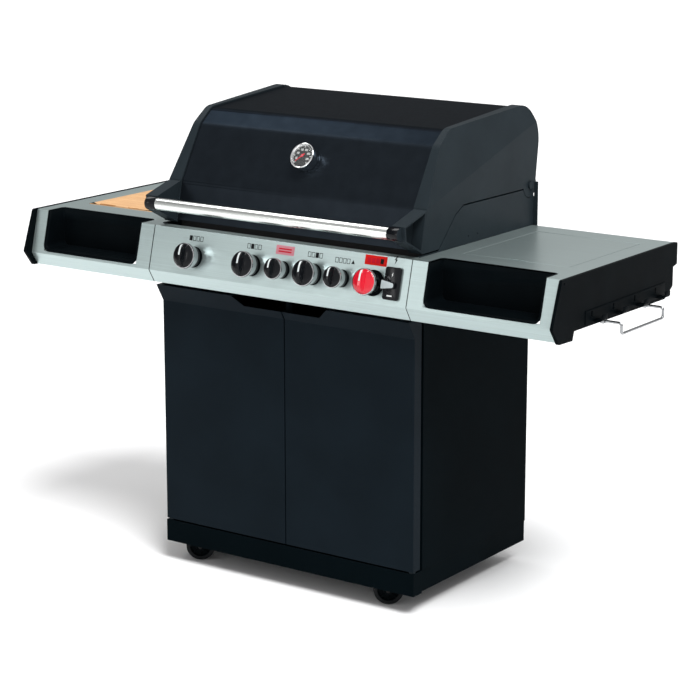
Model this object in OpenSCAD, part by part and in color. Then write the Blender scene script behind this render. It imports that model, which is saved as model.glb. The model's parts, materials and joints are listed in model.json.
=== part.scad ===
// Gas barbecue grill on a two-door cabinet, with a hinged lid, six burner knobs, two side
// shelves and swivel casters. Millimetres, +Z up, front towards -Y, floor at z = 0.

/* [Overall] */
// Width over the two end caps
grill_w = 1572; // [1560:1:1590]
// Height of the shelf tops above the floor
shelf_z = 878; // [874:1:884]

/* [Cabinet] */
// Width of the cabinet
cabinet_w = 760; // [756:1:762]
// Depth of the cabinet, from the door faces to the back
cabinet_d = 517; // [510:1:522]
// Height of the lower edge of the base skirt
skirt_z = 51.5; // [48:0.5:56]
// Height of the cabinet floor
floor_z = 108; // [106:1:110]
// Thickness of the folded sheet-steel panels
sheet = 1.5; // [1.2:0.1:2]

/* [Casters] */
// Wheel diameter
wheel_d = 75; // [70:1:76]
// Wheel width
wheel_w = 24; // [20:1:26]
// Distance of the wheel axle behind the swivel pin
caster_trail = 20; // [16:1:21]
// Direction that the parked casters point in, in degrees
caster_yaw = 32; // [0:1:90]

/* [Lid] */
// Rise of the lid above the shelf tops
lid_rise = 302; // [298:1:306]
// Width over the lid's side castings
lid_w = 768; // [766:1:768]
// Diameter of the handle bar
bar_d = 30; // [26:1:30]

/* [Controls] */
// Diameter of the large burner knobs
large_knob_d = 65; // [60:1:66]
// Diameter of the small burner knobs
small_knob_d = 53; // [48:1:55]
// How far a knob's face stands off the panel
knob_depth = 44; // [40:1:46]
// How far a knob can be pushed in
knob_travel = 3; // [2:0.5:4]

/* [Hidden] */
$fn = 48;
eps = 1;                       // how far a cutting shape runs past a face
fit = 0.05;                    // radial clearance of a running fit

// Cabinet
cab_x = cabinet_w / 2;
skirt_front_d = 37;            // depth of the front piece of the base
skirt_lift = 3;                // how much higher the other skirts end
cab_top = shelf_z - 146.5;     // top of the cabinet's side panels
strip_t = 3;
side_y0 = skirt_front_d;
side_t = 16;                   // depth of a side panel's folded returns
door_t = 30;
door_gap = 4;
door_z0 = floor_z + door_gap;
door_bend_z = shelf_z - 194;   // where the door face flares forward
door_top = [-26, shelf_z - 149];
door_x0 = 1.5;                 // half the gap between the doors
door_x1 = cab_x - door_x0;
door_pivot = [cab_x - 10.5, 10];
door_pin_r = 4;
pull_top = 144;                // half width of the finger pull at the top
pull_foot = 113;
pull_drop = 25;

// Casters
wheel_r = wheel_d / 2;
caster_inset = 60;
caster_x = cab_x - 88;
caster_ys = [caster_inset, cabinet_d - caster_inset];
crown_z = 86;
race_z = 92;
plate_z = 103;
king_r = 5;
axle_r = 4;

// Apron: the profile that the control panel and the shelves share, as [y, z]
apron_top = [-18, shelf_z];
apron_crease = [-46, shelf_z - 109];
apron_foot = [-26, shelf_z - 142.5];
apron_back = 12;
panel_x = cab_x + 3.5;
shelf_x0 = lid_w / 2;
cap_t = 8.5;
shelf_x1 = grill_w / 2 - cap_t;
shelf_y1 = 518;

// Control axes: the panel leans back, so the knobs point forward and up
panel_tilt = atan((apron_top[0] - apron_crease[0]) / (apron_top[1] - apron_crease[1]));
knob_z = shelf_z - 64;
knob_y = apron_crease[0] + (knob_z - apron_crease[1]) * tan(panel_tilt);
knob_xs = [-249, -70, 22, 111, 195, 285];
knob_ds = [large_knob_d, large_knob_d, small_knob_d, large_knob_d, small_knob_d, large_knob_d];
bezel_t = 4;
knob_base = bezel_t + knob_travel + 1;
ridge_h = 20;
stem_r = 4;
stem_flat = 2.6;               // distance of the stem's flat from its axis
valve_depth = 34;
manifold_off = 50;             // distance of the manifold behind the panel face
manifold_r = 9;
pipe = [knob_y + manifold_off * cos(panel_tilt), knob_z - manifold_off * sin(panel_tilt)];
inlet_x = 334;                 // the feed runs back from here, under the firebox
inlet_y = 540;
feed_z = shelf_z - 129;
inlet_r = 6.5;
lever_reach = 68;
lever_knob = 5;                // the lever turns round the bezel of this knob
bezel_r = 0.4;                 // bezel radius as a share of its knob's diameter
block_x = [33, 76];            // from the red knob's axis
block_t = 7;

// Firebox and lid
lid_x = lid_w / 2;
shell_x = 346;
hinge = [504, shelf_z + 102];
hinge_r = 5;
boss_r = 30;
lid_wall = 4;
// Corners of the lid's profile, as [y, z], before rounding
lid_foot = [18, shelf_z + 6];
lid_kink = [41, shelf_z + 109];
lid_brow = [119, shelf_z + 243];
lid_front_top = [166, shelf_z + lid_rise - 23];
lid_crown = [498, shelf_z + lid_rise + 2];
lid_rear = [547, shelf_z + lid_rise - 66];
lid_heel = [531, shelf_z + 112];
// Where the lid's castings meet the firebox's
seam = [[91, shelf_z + 7], [164, shelf_z + 80], [198, shelf_z + 98], [472, shelf_z + 97]];
seam_gap = 4;
crease_at = [59, shelf_z + 113];
crease_angle = 17;
facet_lean = 9.5;
handle_at = [-54, shelf_z + 62];
handle_bar_x = 370;
sleeve_x = 344;                // inner end of the black sleeves on the handle bar
thermo_x = 8;
thermo_z = shelf_z + 186;
thermo_r = 33;
thermo_depth = 30;
needle_rest = 225;             // the cold end of the scale, in degrees from the dial's right
lid_slope = atan((lid_brow[0] - lid_kink[0]) / (lid_brow[1] - lid_kink[1]));
sheet_recess = 4;              // how far the lid's sheet lies inside the castings' outline
lid_sheet = 2;
tub = [[-364, 60, shelf_z - 113], [364, 515, shelf_z + 67]];
drain = [60, 40];
burner_xs = [knob_xs[0], knob_xs[1], knob_xs[3], knob_xs[5]];
burner_z = pipe[1];
burner_r = 12;
tamer_z = burner_z + 42;
rack_z = shelf_z + 120;
shield_z = hinge[1] - 30;      // top of the rear shield, low enough for the open lid
vent_z = hinge[1] + 30;        // lower edge of the lid's back
grate_z = shelf_z + 30;
tray_half = 150;
drip_y = [90, 470];
bottle_at = [190, 270];
bottle_r = 110;
drip_z = shelf_z - 140;

// Shelves
bin_x = [429, 738];            // storage niche in the front of each shelf
bin_y1 = 38;
bin_z0 = shelf_z - 101;
well_x = [439, 722];           // opening for the cutting board and for the side burner
well_y = [112, 452];
board_y = [116, 432];
board_t = 22;
cover_t = 3;
cover_hinge = [443, shelf_z - 5.5];
cover_pin_r = 2;
burner_at = [(well_x[0] + well_x[1]) / 2, (well_y[0] + well_y[1]) / 2];
bowl_z = shelf_z - 72;
hook_ys = [104, 205, 307, 409];
hook_z = shelf_z - 98;
rail_x = shelf_x1 + cap_t;
wire_r = 3.2;
towel_y = [190, 393];
wire_bend_r = 7;
towel_x = 818;
towel_z = [shelf_z - 157, shelf_z - 132];

// The origin is the middle of the base of the whole grill's box
reach_front = knob_y - (knob_depth + ridge_h) * cos(panel_tilt) - large_knob_d * 0.4 * sin(panel_tilt);
mid_x = (towel_x + wire_r - grill_w / 2) / 2;
mid_y = (reach_front + lid_rear[0] - 2) / 2;

// Colours
steel = "#b9c0bf";
satin_black = "#20262c";
cast_grey = "#3c4043";
enamel = "#1b1f26";
plastic = "#15181b";

// ---- helpers ----

function unit(v) = v / norm(v);

// A closed outline, counter-clockwise, moved inwards by d.
function inset(pts, d) = let (n = len(pts)) [for (i = [0:n - 1])
    let (a = unit(pts[i] - pts[(i + n - 1) % n]), b = unit(pts[(i + 1) % n] - pts[i]),
         na = [-a[1], a[0]], nb = [-b[1], b[0]])
    pts[i] + (na + nb) * d / (1 + na * nb)];

// The points of an arc of radius r that rounds the corner p between a and b.
function corner_arc(a, p, b, r, steps = 8) =
    let (u = unit(a - p), v = unit(b - p), half = acos(u * v) / 2,
         c = p + unit(u + v) * r / sin(half), s = p + u * r / tan(half), e = p + v * r / tan(half),
         a0 = atan2(s[1] - c[1], s[0] - c[0]), turn = atan2(e[1] - c[1], e[0] - c[0]) - a0,
         sweep = turn > 180 ? turn - 360 : turn < -180 ? turn + 360 : turn)
    [for (i = [0:steps]) c + r * [cos(a0 + sweep * i / steps), sin(a0 + sweep * i / steps)]];

// An outline whose corners are rounded by the radii given, 0 for a sharp one.
function rounded(pts, radii) = let (n = len(pts)) [for (i = [0:n - 1])
    each radii[i] > 0 ? corner_arc(pts[(i + n - 1) % n], pts[i], pts[(i + 1) % n], radii[i])
                      : [pts[i]]];

// Moves the design, which is drawn from the cabinet's centre line and door plane, to the origin.
module placed() translate([-mid_x, -mid_y, 0]) children();

// side is 1 for right and -1 for left: everything is drawn for the right.
module on_side(side) {
    if (side > 0) placed() children();
    else placed() mirror([1, 0, 0]) children();
}

// A flat outline in the Y-Z plane, extruded from x0 to x1.
module along_x(x0, x1) translate([x0, 0, 0]) rotate([90, 0, 90]) linear_extrude(x1 - x0) children();

module box(low, high) translate(low) cube(high - low);

module rod_x(at, r, x0, x1) translate([x0, at[0], at[1]]) rotate([0, 90, 0]) cylinder(r = r, h = x1 - x0);

module rod_y(x, z, r, y0, y1) translate([x, y0, z]) rotate([-90, 0, 0]) cylinder(r = r, h = y1 - y0);

// A box folded from sheet, open on the side that open names.
module pan(low, high, wall, open) {
    past = [for (i = [0:2]) open[i] * (wall + eps)];
    difference() {
        box(low, high);
        box([for (i = [0:2]) low[i] + wall + min(past[i], 0)],
            [for (i = [0:2]) high[i] - wall + max(past[i], 0)]);
    }
}

// The frame of a control: local z points out of the panel, z = 0 on the panel's face.
module at_knob(i) translate([knob_xs[i], knob_y, knob_z]) rotate([90 - panel_tilt, 0, 0]) children();

// ---- cabinet ----

module base_pan() color(satin_black) placed() difference() {
    union() {
        bottle_seat();
        box([-cab_x, 0, skirt_z], [cab_x, skirt_front_d, floor_z]);
        box([2 - cab_x, skirt_front_d, skirt_z + skirt_lift], [cab_x - 2, cabinet_d, floor_z]);
    }
    box([4 - cab_x, 2, 0], [cab_x - 4, cabinet_d - 2, floor_z - 2]);
    for (x = [-300, -150, 0], y = [180, 300, 420])
        translate([x, y, floor_z - 5]) cylinder(r = 9, h = 10);
}

// Raised round seat on the cabinet floor, for the foot ring of a gas bottle.
module bottle_seat() translate([bottle_at[0], bottle_at[1], floor_z - 1]) cylinder(r = bottle_r, h = 4);

module cabinet_side(side) color(satin_black) on_side(side)
    pan([cab_x - side_t, side_y0, floor_z], [cab_x, cabinet_d, cab_top], sheet, [-1, 0, 0]);

module cabinet_back() color(satin_black) placed() difference() {
    pan([side_t - cab_x, cabinet_d - 14, floor_z], [cab_x - side_t, cabinet_d - 2, cab_top],
        sheet, [0, -1, 0]);
    for (x = [-240:60:240])
        box([x - 20, cabinet_d - 10, floor_z + 60], [x + 20, cabinet_d, floor_z + 68]);
    for (x = [-240:60:240])
        box([x - 20, cabinet_d - 10, cab_top - 90], [x + 20, cabinet_d, cab_top - 82]);
}

function door_outline() = [[0, door_z0], [door_t, door_z0], [door_t, door_top[1]],
    door_top, [0, door_bend_z]];

module door(side) color(satin_black) on_side(side) {
    difference() {
        union() {
            difference() {
                along_x(door_x0, door_x1) polygon(door_outline());
                along_x(door_x0 + sheet, door_x1 - sheet) polygon(inset(door_outline(), sheet));
                box([door_x0 + sheet, door_t - sheet - eps, door_z0 + sheet],
                    [door_x1 - sheet, door_t + eps, door_top[1] - sheet]);
            }
            for (z = [door_z0, door_top[1] - 14])
                box([door_pivot[0] - 9, sheet / 2, z], [door_x1 - sheet / 2, door_t - 6, z + 14]);
        }
        for (z = [door_z0, door_top[1] - 14]) translate([door_pivot[0], door_pivot[1], z - eps])
            cylinder(r = door_pin_r + fit, h = 14 + 2 * eps);
        // half of the trapezoid finger pull that the two doors share
        translate([0, -40, 0]) rotate([-90, 0, 0]) linear_extrude(52) polygon([
            [-eps, -door_top[1] - eps], [pull_top, -door_top[1] - eps],
            [pull_foot, pull_drop - door_top[1]], [-eps, pull_drop - door_top[1]]]);
    }
}

// Pins that the doors and the lid turn on: two for each door, one bolt for each side of the lid.
module hinge_pins() color(steel) for (side = [-1, 1]) on_side(side) {
    translate([door_pivot[0], door_pivot[1], floor_z]) {
        cylinder(r = 8, h = door_gap - 0.5);
        cylinder(r = door_pin_r, h = door_gap + 12);
    }
    translate([door_pivot[0], door_pivot[1], door_top[1] - 12])
        cylinder(r = door_pin_r, h = cab_top + 1 - door_top[1] + 12);
    // strip between the cabinet's side and the firebox, which carries the upper door pin
    box([door_pivot[0] - 10, 2, cab_top], [cab_x, cabinet_d, cab_top + strip_t]);
    rod_x(hinge, hinge_r, 360, lid_x + 0.6);
    rod_x(hinge, 9, lid_x + 0.6, lid_x + 5);
    translate([360, hinge[0], hinge[1]]) rotate([0, 90, 0]) cylinder(r = 9, h = 6, $fn = 6);
}

// ---- casters: 0 front left, 1 front right, 2 rear left, 3 rear right ----

function caster_at(i) = [(i % 2 == 0 ? -1 : 1) * caster_x, caster_ys[floor(i / 2)], 0];

module at_caster(i) placed() translate(caster_at(i)) rotate([0, 0, caster_yaw]) children();

module caster_plates() color(steel) for (i = [0:3]) placed() translate(caster_at(i)) {
    box([-30, -30, plate_z], [30, 30, floor_z - 2]);
    translate([0, 0, race_z]) cylinder(r = 15, h = plate_z - race_z);
    translate([0, 0, crown_z - 4]) cylinder(r = king_r, h = race_z - crown_z + 4);
    translate([0, 0, crown_z - 4]) cylinder(r = 8, h = 3.7);
}

// Legs carry the axle behind the swivel pin.
module caster_fork(i) color(plastic) at_caster(i) {
    leg_y = wheel_w / 2 + 1.5;
    leg_t = 3;
    difference() {
        box([-19, -leg_y - leg_t, crown_z], [19, leg_y + leg_t, race_z - 0.3]);
        translate([0, 0, crown_z - eps]) cylinder(r = king_r + fit, h = 10);
    }
    for (y = [-leg_y - leg_t, leg_y]) translate([0, y + leg_t, 0]) rotate([90, 0, 0]) {
        linear_extrude(leg_t) polygon([[-19, crown_z + 3], [-caster_trail - 10, wheel_r],
            [-caster_trail, wheel_r - 10], [-caster_trail + 9, wheel_r - 3], [19, crown_z + 3]]);
        translate([-caster_trail, wheel_r, 0]) cylinder(r = 10, h = leg_t);
    }
    translate([-caster_trail, leg_y + leg_t, wheel_r]) rotate([90, 0, 0])
        cylinder(r = axle_r, h = 2 * (leg_y + leg_t));
}

module caster_wheel(i) color("#1d2023") at_caster(i)
    translate([-caster_trail, 0, wheel_r]) rotate([90, 0, 0]) rotate_extrude() polygon([
        [axle_r + fit, -wheel_w / 2], [12, -wheel_w / 2], [14, 4 - wheel_w / 2],
        [wheel_r - 9, 4 - wheel_w / 2], [wheel_r - 8, -wheel_w / 2],
        [wheel_r - 3, -wheel_w / 2], [wheel_r, 3 - wheel_w / 2],
        [wheel_r, wheel_w / 2 - 3], [wheel_r - 3, wheel_w / 2],
        [wheel_r - 8, wheel_w / 2], [wheel_r - 9, wheel_w / 2 - 4],
        [14, wheel_w / 2 - 4], [12, wheel_w / 2], [axle_r + fit, wheel_w / 2]]);

// ---- firebox ----

module firebox_side(side) color(cast_grey) on_side(side) {
    low = cab_top + strip_t;
    difference() {
        union() {
            difference() {
                along_x(lid_x - 8, lid_x) polygon([[apron_back, low], [523, low], [523, hinge[1] - 20],
                    seam[3] - [0, seam_gap], seam[2] - [0, seam_gap], seam[1] - [0, seam_gap],
                    seam[0] - [0, seam_gap + 1], [apron_back, shelf_z + 2]]);
                rod_x(hinge, boss_r + 2, lid_x - 8 - eps, lid_x + eps);
            }
            along_x(lid_x - 18, lid_x - 8) polygon([[60, low], [523, low], [523, hinge[1] - 36],
                [512, hinge[1] - 28], [512, hinge[1] + 6], seam[3] + [0, 10], seam[2] + [-4, 10],
                seam[1] + [-8, 8], seam[0] + [-8, 8], [60, shelf_z + 2]]);
            rod_x(hinge, 20, lid_x - 18, lid_x - 8);
        }
        rod_x(hinge, hinge_r, lid_x - 20, lid_x);
        for (y = [221, 263]) rod_x([y, shelf_z + 18], 2.5, lid_x - 5, lid_x + eps);
    }
}

// The tub hangs between the castings; its floor drains into the drip tray.
module firebox_tub() color("#4a4d4f") placed() {
    difference() {
        pan(tub[0], tub[1], 2, [0, 0, 1]);
        box([-drain[0], 270 - drain[1], tub[0][2] - eps], [drain[0], 270 + drain[1], tub[0][2] + 5]);
        for (x = burner_xs) rod_y(x, burner_z, burner_r + 0.5, 55, 65);
    }
    // ledges that the grates and the flame tamers rest on
    for (y = [[62, 74], [501, 513]]) {
        box([-362, y[0], grate_z - 12], [362, y[1], grate_z - 10]);
        box([-362, y[0], tamer_z - 2], [362, y[1], tamer_z]);
    }
}

// Stands behind the firebox, lower behind the lid so that the lid's back can swing over it.
module rear_shield() color(cast_grey) placed() {
    ear = 12;
    box([-lid_x - ear, 523, shelf_z - 90], [lid_x + ear, 525, shield_z]);
    for (side = [-1, 1]) box([side * (lid_x + ear / 2 + 0.5) - ear / 2 + 0.5, 523, shield_z - eps],
        [side * (lid_x + ear / 2 + 0.5) + ear / 2 - 0.5, 525, hinge[1] + 7]);
}

// Three tube burners and a wide high-power one, all running from front to back.
module main_burners() color(steel) placed() {
    for (i = [0:2]) difference() {
        rod_y(burner_xs[i], burner_z, burner_r, 40, 490);
        rod_y(burner_xs[i], burner_z, 10.5, 39, 488);
        for (y = [110:30:470], side = [-1, 1])
            translate([burner_xs[i], y, burner_z]) rotate([0, side * 60, 0]) cylinder(r = 1.5, h = 20);
    }
    difference() {
        union() {
            rod_y(burner_xs[3], burner_z, burner_r, 40, 130);
            box([burner_xs[3] - 55, 125, burner_z - 14], [burner_xs[3] + 55, 480, burner_z + 14]);
        }
        rod_y(burner_xs[3], burner_z, 10.5, 39, 140);
        box([burner_xs[3] - 53, 127, burner_z - 12], [burner_xs[3] + 53, 478, burner_z + 12]);
        for (y = [150:30:450]) box([burner_xs[3] - 45, y, burner_z + 10],
            [burner_xs[3] + 45, y + 14, burner_z + 16]);
    }
}

// Roof-shaped sheets that shield the burners from dripping fat.
module flame_tamers() color("#6c7072") placed() for (x = burner_xs) {
    peak = tamer_z + 24;
    translate([0, 504, 0]) rotate([90, 0, 0]) linear_extrude(504 - 71) polygon([
        [x - 62, tamer_z], [x - 58, tamer_z], [x, peak - 2.5], [x + 58, tamer_z],
        [x + 62, tamer_z], [x, peak]]);
}

// Three cast-iron grates side by side.
module cooking_grates() color("#2a2b2c") placed() for (k = [-1, 0, 1]) {
    w = 238;
    x0 = k * (w + 2) - w / 2;
    for (i = [0:10]) box([x0 + i * 23, 64, grate_z - 10], [x0 + i * 23 + 8, 511, grate_z]);
    for (y = [64, 210, 355, 501]) box([x0, y, grate_z - 9], [x0 + w, y + 10, grate_z - 2]);
}

// A wire rack above the back of the grates, standing on the tub's back ledge.
module warming_rack() color(steel) placed() {
    for (y = [350:16:478]) rod_x([y, rack_z], 2.5, -330, 330);
    for (x = [-330, 0, 330]) {
        rod_y(x, rack_z, 3, 346, 482);
        translate([x, 480, grate_z]) cylinder(r = 3, h = rack_z - grate_z);
        translate([x, 352, grate_z]) cylinder(r = 3, h = rack_z - grate_z);
    }
}

// Two angle rails under the firebox, which the drip tray hangs on.
module drip_rails() color(steel) placed() for (side = [-1, 1]) {
    box([side * 161 - 1, drip_y[0], drip_z + 10], [side * 161 + 1, drip_y[1], tub[0][2]]);
    box([side * 158 - 4, drip_y[0], drip_z + 10], [side * 158 + 4, drip_y[1], drip_z + 12]);
}

// Hangs by its flanges on the rails and draws out at the back.
module drip_tray() color("#8d9392") placed() {
    pan([-tray_half, drip_y[0] + 2, drip_z], [tray_half, drip_y[1] - 2, drip_z + 14], 1.5, [0, 0, 1]);
    for (side = [-1, 1]) box([side * 153.5 - 5, drip_y[0] + 2, drip_z + 12.3],
        [side * 153.5 + 5, drip_y[1] - 2, drip_z + 14]);
}

// ---- control panel ----

function apron_outline() = [[apron_back, apron_foot[1]], [apron_back, shelf_z], apron_top,
    apron_crease, apron_foot];

module control_panel() color(steel) placed() difference() {
    along_x(-panel_x, panel_x) polygon(apron_outline());
    along_x(-panel_x - eps, panel_x + eps) polygon(inset(apron_outline(), sheet));
    box([-panel_x - eps, apron_back - 3, apron_foot[1] + 12],
        [panel_x + eps, apron_back + eps, shelf_z - 12]);
    for (i = [0:5]) at_knob(i) translate([0, 0, -8]) cylinder(r = stem_r + 4, h = 16);
}

// The pipe that feeds the six valves, and its feed under the firebox with the hose nozzle at the back.
module gas_manifold() color("#a8adad") placed() {
    difference() {
        rod_x(pipe, manifold_r, knob_xs[0] - 26, inlet_x + 11);
        rod_x(pipe, manifold_r - 2, knob_xs[0] - 23, inlet_x + 8);
    }
    box([inlet_x - 9, pipe[0] - 1, feed_z - 9], [inlet_x + 9, pipe[0] + 16, pipe[1] - manifold_r + 2]);
    rod_y(inlet_x, feed_z, inlet_r, pipe[0] + 10, inlet_y);
    rod_y(inlet_x, feed_z, 9, inlet_y - 26, inlet_y - 20);
    // jets that point into the burners
    for (x = burner_xs) rod_y(x, burner_z, 4, pipe[0] + manifold_r - 1, 52);
    for (i = [0:5]) at_knob(i) difference() {
        box([-11, -12, -manifold_off + manifold_r - 1], [11, 12, -10]);
        translate([0, 0, -valve_depth]) cylinder(r = stem_r + fit, h = valve_depth);
    }
}

// The bezels round the knobs, and the cover of the igniter, which the turbo lever sweeps over.
module panel_trim() color(plastic) placed() {
    for (i = [0:5]) at_knob(i) difference() {
        union() {
            cylinder(r = knob_ds[i] * bezel_r, h = bezel_t - 1);
            cylinder(r1 = knob_ds[i] * bezel_r, r2 = knob_ds[i] * bezel_r - 1, h = bezel_t);
        }
        translate([0, 0, -eps]) cylinder(r = stem_r + 4, h = bezel_t + 2 * eps);
    }
    at_knob(lever_knob) linear_extrude(block_t) polygon(rounded([[block_x[0], -34], [block_x[1], -34],
        [block_x[1], 43], [block_x[0], 43]], [6, 6, 6, 6]));
}

// A D-shaped stem: it turns in the valve, and the knob slides along its flat.
module d_shaft(r, flat, z0, z1) difference() {
    translate([0, 0, z0]) cylinder(r = r, h = z1 - z0);
    box([-r - 1, flat, knob_base - knob_travel - 0.5], [r + 1, r + 1, z1 + 1]);
}

module valve_stem(i) color("#c9b06a") placed() at_knob(i)
    d_shaft(stem_r, stem_flat, -valve_depth + 2, knob_base + 22);

module knob(i) color(i == 5 ? "#c8202c" : plastic) placed() at_knob(i) {
    r = knob_ds[i] / 2;
    difference() {
        union() {
            translate([0, 0, knob_base]) cylinder(r1 = r * 0.78, r2 = r, h = knob_depth - knob_base - 6);
            translate([0, 0, knob_depth - 6]) cylinder(r1 = r, r2 = r - 3, h = 6);
            intersection() {
                box([-r * 0.2, -r, knob_depth - 3], [r * 0.2, r, knob_depth + ridge_h]);
                cylinder(r1 = r * 1.1, r2 = r * 0.8, h = knob_depth + ridge_h);
            }
        }
        intersection() {
            translate([0, 0, knob_base - eps]) cylinder(r = stem_r + fit, h = 24 + knob_travel);
            box([-r, -r, 0], [r, stem_flat + fit, knob_depth]);
        }
    }
}

// A ring round the red knob's bezel, with a raised tongue on its right.
module turbo_lever() color(plastic) placed() at_knob(lever_knob) {
    bearing = knob_ds[lever_knob] * bezel_r + fit;
    tongue_z = block_t + 0.4;
    difference() {
        translate([0, 0, 0.3]) cylinder(r = bearing + 4.5, h = bezel_t - 1.5);
        cylinder(r = bearing, h = bezel_t + eps);
    }
    box([bearing + 3.5, -5, 0.5], [bearing + 6, 5, tongue_z + 8]);
    translate([0, 0, tongue_z]) linear_extrude(8)
        polygon(rounded([[bearing + 3.5, -12.5], [lever_reach, -7], [lever_reach, 7], [bearing + 3.5, 12.5]],
            [1, 6, 6, 1]));
}

// ---- shelves ----

shelf_outline = [[28, shelf_z - 124], [461, shelf_z - 124], [501, shelf_z - 99],
    [501, shelf_z - 52], [shelf_y1, shelf_z - 48], [shelf_y1, shelf_z], apron_top, apron_crease,
    apron_foot, [21, apron_foot[1]]];

module shelf_shell(well) difference() {
    along_x(shelf_x0, shelf_x1) polygon(shelf_outline);
    along_x(shelf_x0 + sheet, shelf_x1 - sheet) polygon(inset(shelf_outline, sheet));
    box([shelf_x0 + 12, 40, shelf_z - 140], [shelf_x1 - 12, 449, shelf_z - 115]);
    // niche, open at the front and at the top
    box([bin_x[0], -60, bin_z0], [bin_x[1], bin_y1, shelf_z + eps]);
    box([well_x[0], well[0], shelf_z - 5], [well_x[1], well[1], shelf_z + eps]);
}

module shelf_left() color(steel) on_side(-1) {
    shelf_shell(board_y);
    // ledge frame under the cutting board
    difference() {
        box([well_x[0] - 4, board_y[0] - 4, shelf_z - board_t - 3],
            [well_x[1] + 4, board_y[1] + 4, shelf_z - sheet]);
        box([well_x[0], board_y[0], shelf_z - board_t], [well_x[1], board_y[1], shelf_z]);
        box([well_x[0] + 8, board_y[0] + 8, shelf_z - board_t - 5],
            [well_x[1] - 8, board_y[1] - 8, shelf_z]);
    }
}

module shelf_right() color(steel) on_side(1) difference() {
    shelf_shell(well_y);
    hook_slots();
}

module cutting_board() color("#d9b98a") on_side(-1) difference() {
    box([well_x[0] + 1, board_y[0] + 1, shelf_z - board_t],
        [well_x[1] - 1, board_y[1] - 1, shelf_z + 0.5]);
    for (x = [[564, 599], [642, 698]])
        box([x[0], board_y[0] + 8, shelf_z - board_t - eps], [x[1], board_y[0] + 20, shelf_z + 5]);
}

// A moulded liner of the niche, with a thin lip over the shelf's edges.
module tray(side, ribs) color(plastic) on_side(side) {
    front = apron_crease[0] + (bin_z0 - apron_crease[1]) * tan(panel_tilt);
    difference() {
        along_x(bin_x[0], bin_x[1]) polygon([[front, bin_z0], [bin_y1, bin_z0],
            [bin_y1, shelf_z], [apron_top[0], shelf_z]]);
        box([bin_x[0] + 3, -80, bin_z0 + 3], [bin_x[1] - 3, bin_y1 - 3, shelf_z + eps]);
    }
    difference() {
        box([bin_x[0] - 4, apron_top[0], shelf_z], [bin_x[1] + 4, bin_y1 + 4, shelf_z + 1.2]);
        box([bin_x[0] + 3, -80, shelf_z - eps], [bin_x[1] - 3, bin_y1 - 3, shelf_z + 2]);
    }
    for (i = [1:ribs]) box([bin_x[0] + 3, front + 4 + i * 14, bin_z0 + 2],
        [bin_x[1] - 3, front + 7 + i * 14, bin_z0 + 6]);
}

cap_outline = [[-39, shelf_z - 143], [21, shelf_z - 145], [28, shelf_z - 124],
    [461, shelf_z - 128], [501, shelf_z - 103], [501, shelf_z - 56], [shelf_y1 + 2, shelf_z - 52],
    [shelf_y1 + 2, shelf_z + 1], [-30, shelf_z + 1], [-68, shelf_z - 104]];
cap_radii = [3, 3, 3, 10, 6, 3, 3, 4, 6, 6];

module end_cap(side) color(plastic) on_side(side) difference() {
    along_x(shelf_x1, shelf_x1 + cap_t) polygon(rounded(cap_outline, cap_radii));
    if (side > 0) hook_slots();
    rod_x([-22, shelf_z - 8], 3, shelf_x1 + cap_t - 2, shelf_x1 + cap_t + eps);
}

module hook_slots() for (y = hook_ys)
    box([shelf_x1 - 10, y - 3, hook_z - 7], [rail_x + 20, y + 3, hook_z + 7]);

// A strip on the outside of the right cap with four hooks pressed out of it.
module hook_rail() color("#2b2f32") on_side(1) difference() {
    union() {
        box([rail_x, hook_ys[0] - 30, hook_z - 22], [rail_x + 2, hook_ys[3] + 50, hook_z + 12]);
        for (y = hook_ys) {
            box([rail_x, y + 6, hook_z - 20], [rail_x + 24, y + 40, hook_z - 17]);
            box([rail_x + 21, y + 6, hook_z - 20], [rail_x + 24, y + 40, hook_z - 2]);
        }
    }
    hook_slots();
}

// A quarter turn of wire, from the direction of local +Y to that of local +X.
module wire_bend() rotate_extrude(angle = 90) translate([wire_bend_r, 0]) circle(r = wire_r, $fn = 24);

// A wire bar that a towel hangs on, screwed up under the right shelf.
module towel_bar() color(steel) on_side(1) {
    for (end = [0, 1]) {
        y = towel_y[end];
        rod_x([y, towel_z[1]], wire_r, shelf_x1 - 8, towel_x - wire_bend_r);
        translate([towel_x - wire_bend_r, y, towel_z[1] - wire_bend_r]) rotate([90, 0, 0]) wire_bend();
        translate([towel_x, y, towel_z[0] + wire_bend_r])
            cylinder(r = wire_r, h = towel_z[1] - towel_z[0] - 2 * wire_bend_r);
        translate([towel_x, y + (1 - 2 * end) * wire_bend_r, towel_z[0] + wire_bend_r])
            rotate([0, 90, 0]) rotate([0, 0, end == 0 ? -90 : 0]) wire_bend();
        box([shelf_x1 - 11, y - 8, towel_z[1] - 5], [shelf_x1 - 2, y + 8, shelf_z - 124]);
    }
    rod_y(towel_x, towel_z[0], wire_r, towel_y[0] + wire_bend_r, towel_y[1] - wire_bend_r);
}

// ---- side burner ----

module side_burner_bowl() color("#6c7072") on_side(1) {
    difference() {
        union() {
            box([well_x[0] - 2, well_y[0] - 2, bowl_z], [well_x[1] + 2, well_y[1] + 2, shelf_z - sheet]);
            box([well_x[0] - 10, well_y[0] - 10, shelf_z - sheet - 2],
                [well_x[1] + 10, well_y[1] + 10, shelf_z - sheet]);
        }
        box([well_x[0], well_y[0], bowl_z + 2], [well_x[1], well_y[1], shelf_z]);
        translate([burner_at[0], burner_at[1], bowl_z - eps]) cylinder(r = 14.5, h = 5);
    }
    // ledge under the front edge of the cover
    box([well_x[0], well_y[0] - 1, shelf_z - cover_t - 8],
        [well_x[1], well_y[0] + 5, shelf_z - cover_t - 0.3]);
    // pins that the cover turns on
    rod_x(cover_hinge, cover_pin_r, well_x[0] - 1, well_x[0] + 10);
    rod_x(cover_hinge, cover_pin_r, well_x[1] - 10, well_x[1] + 1);
}

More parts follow.
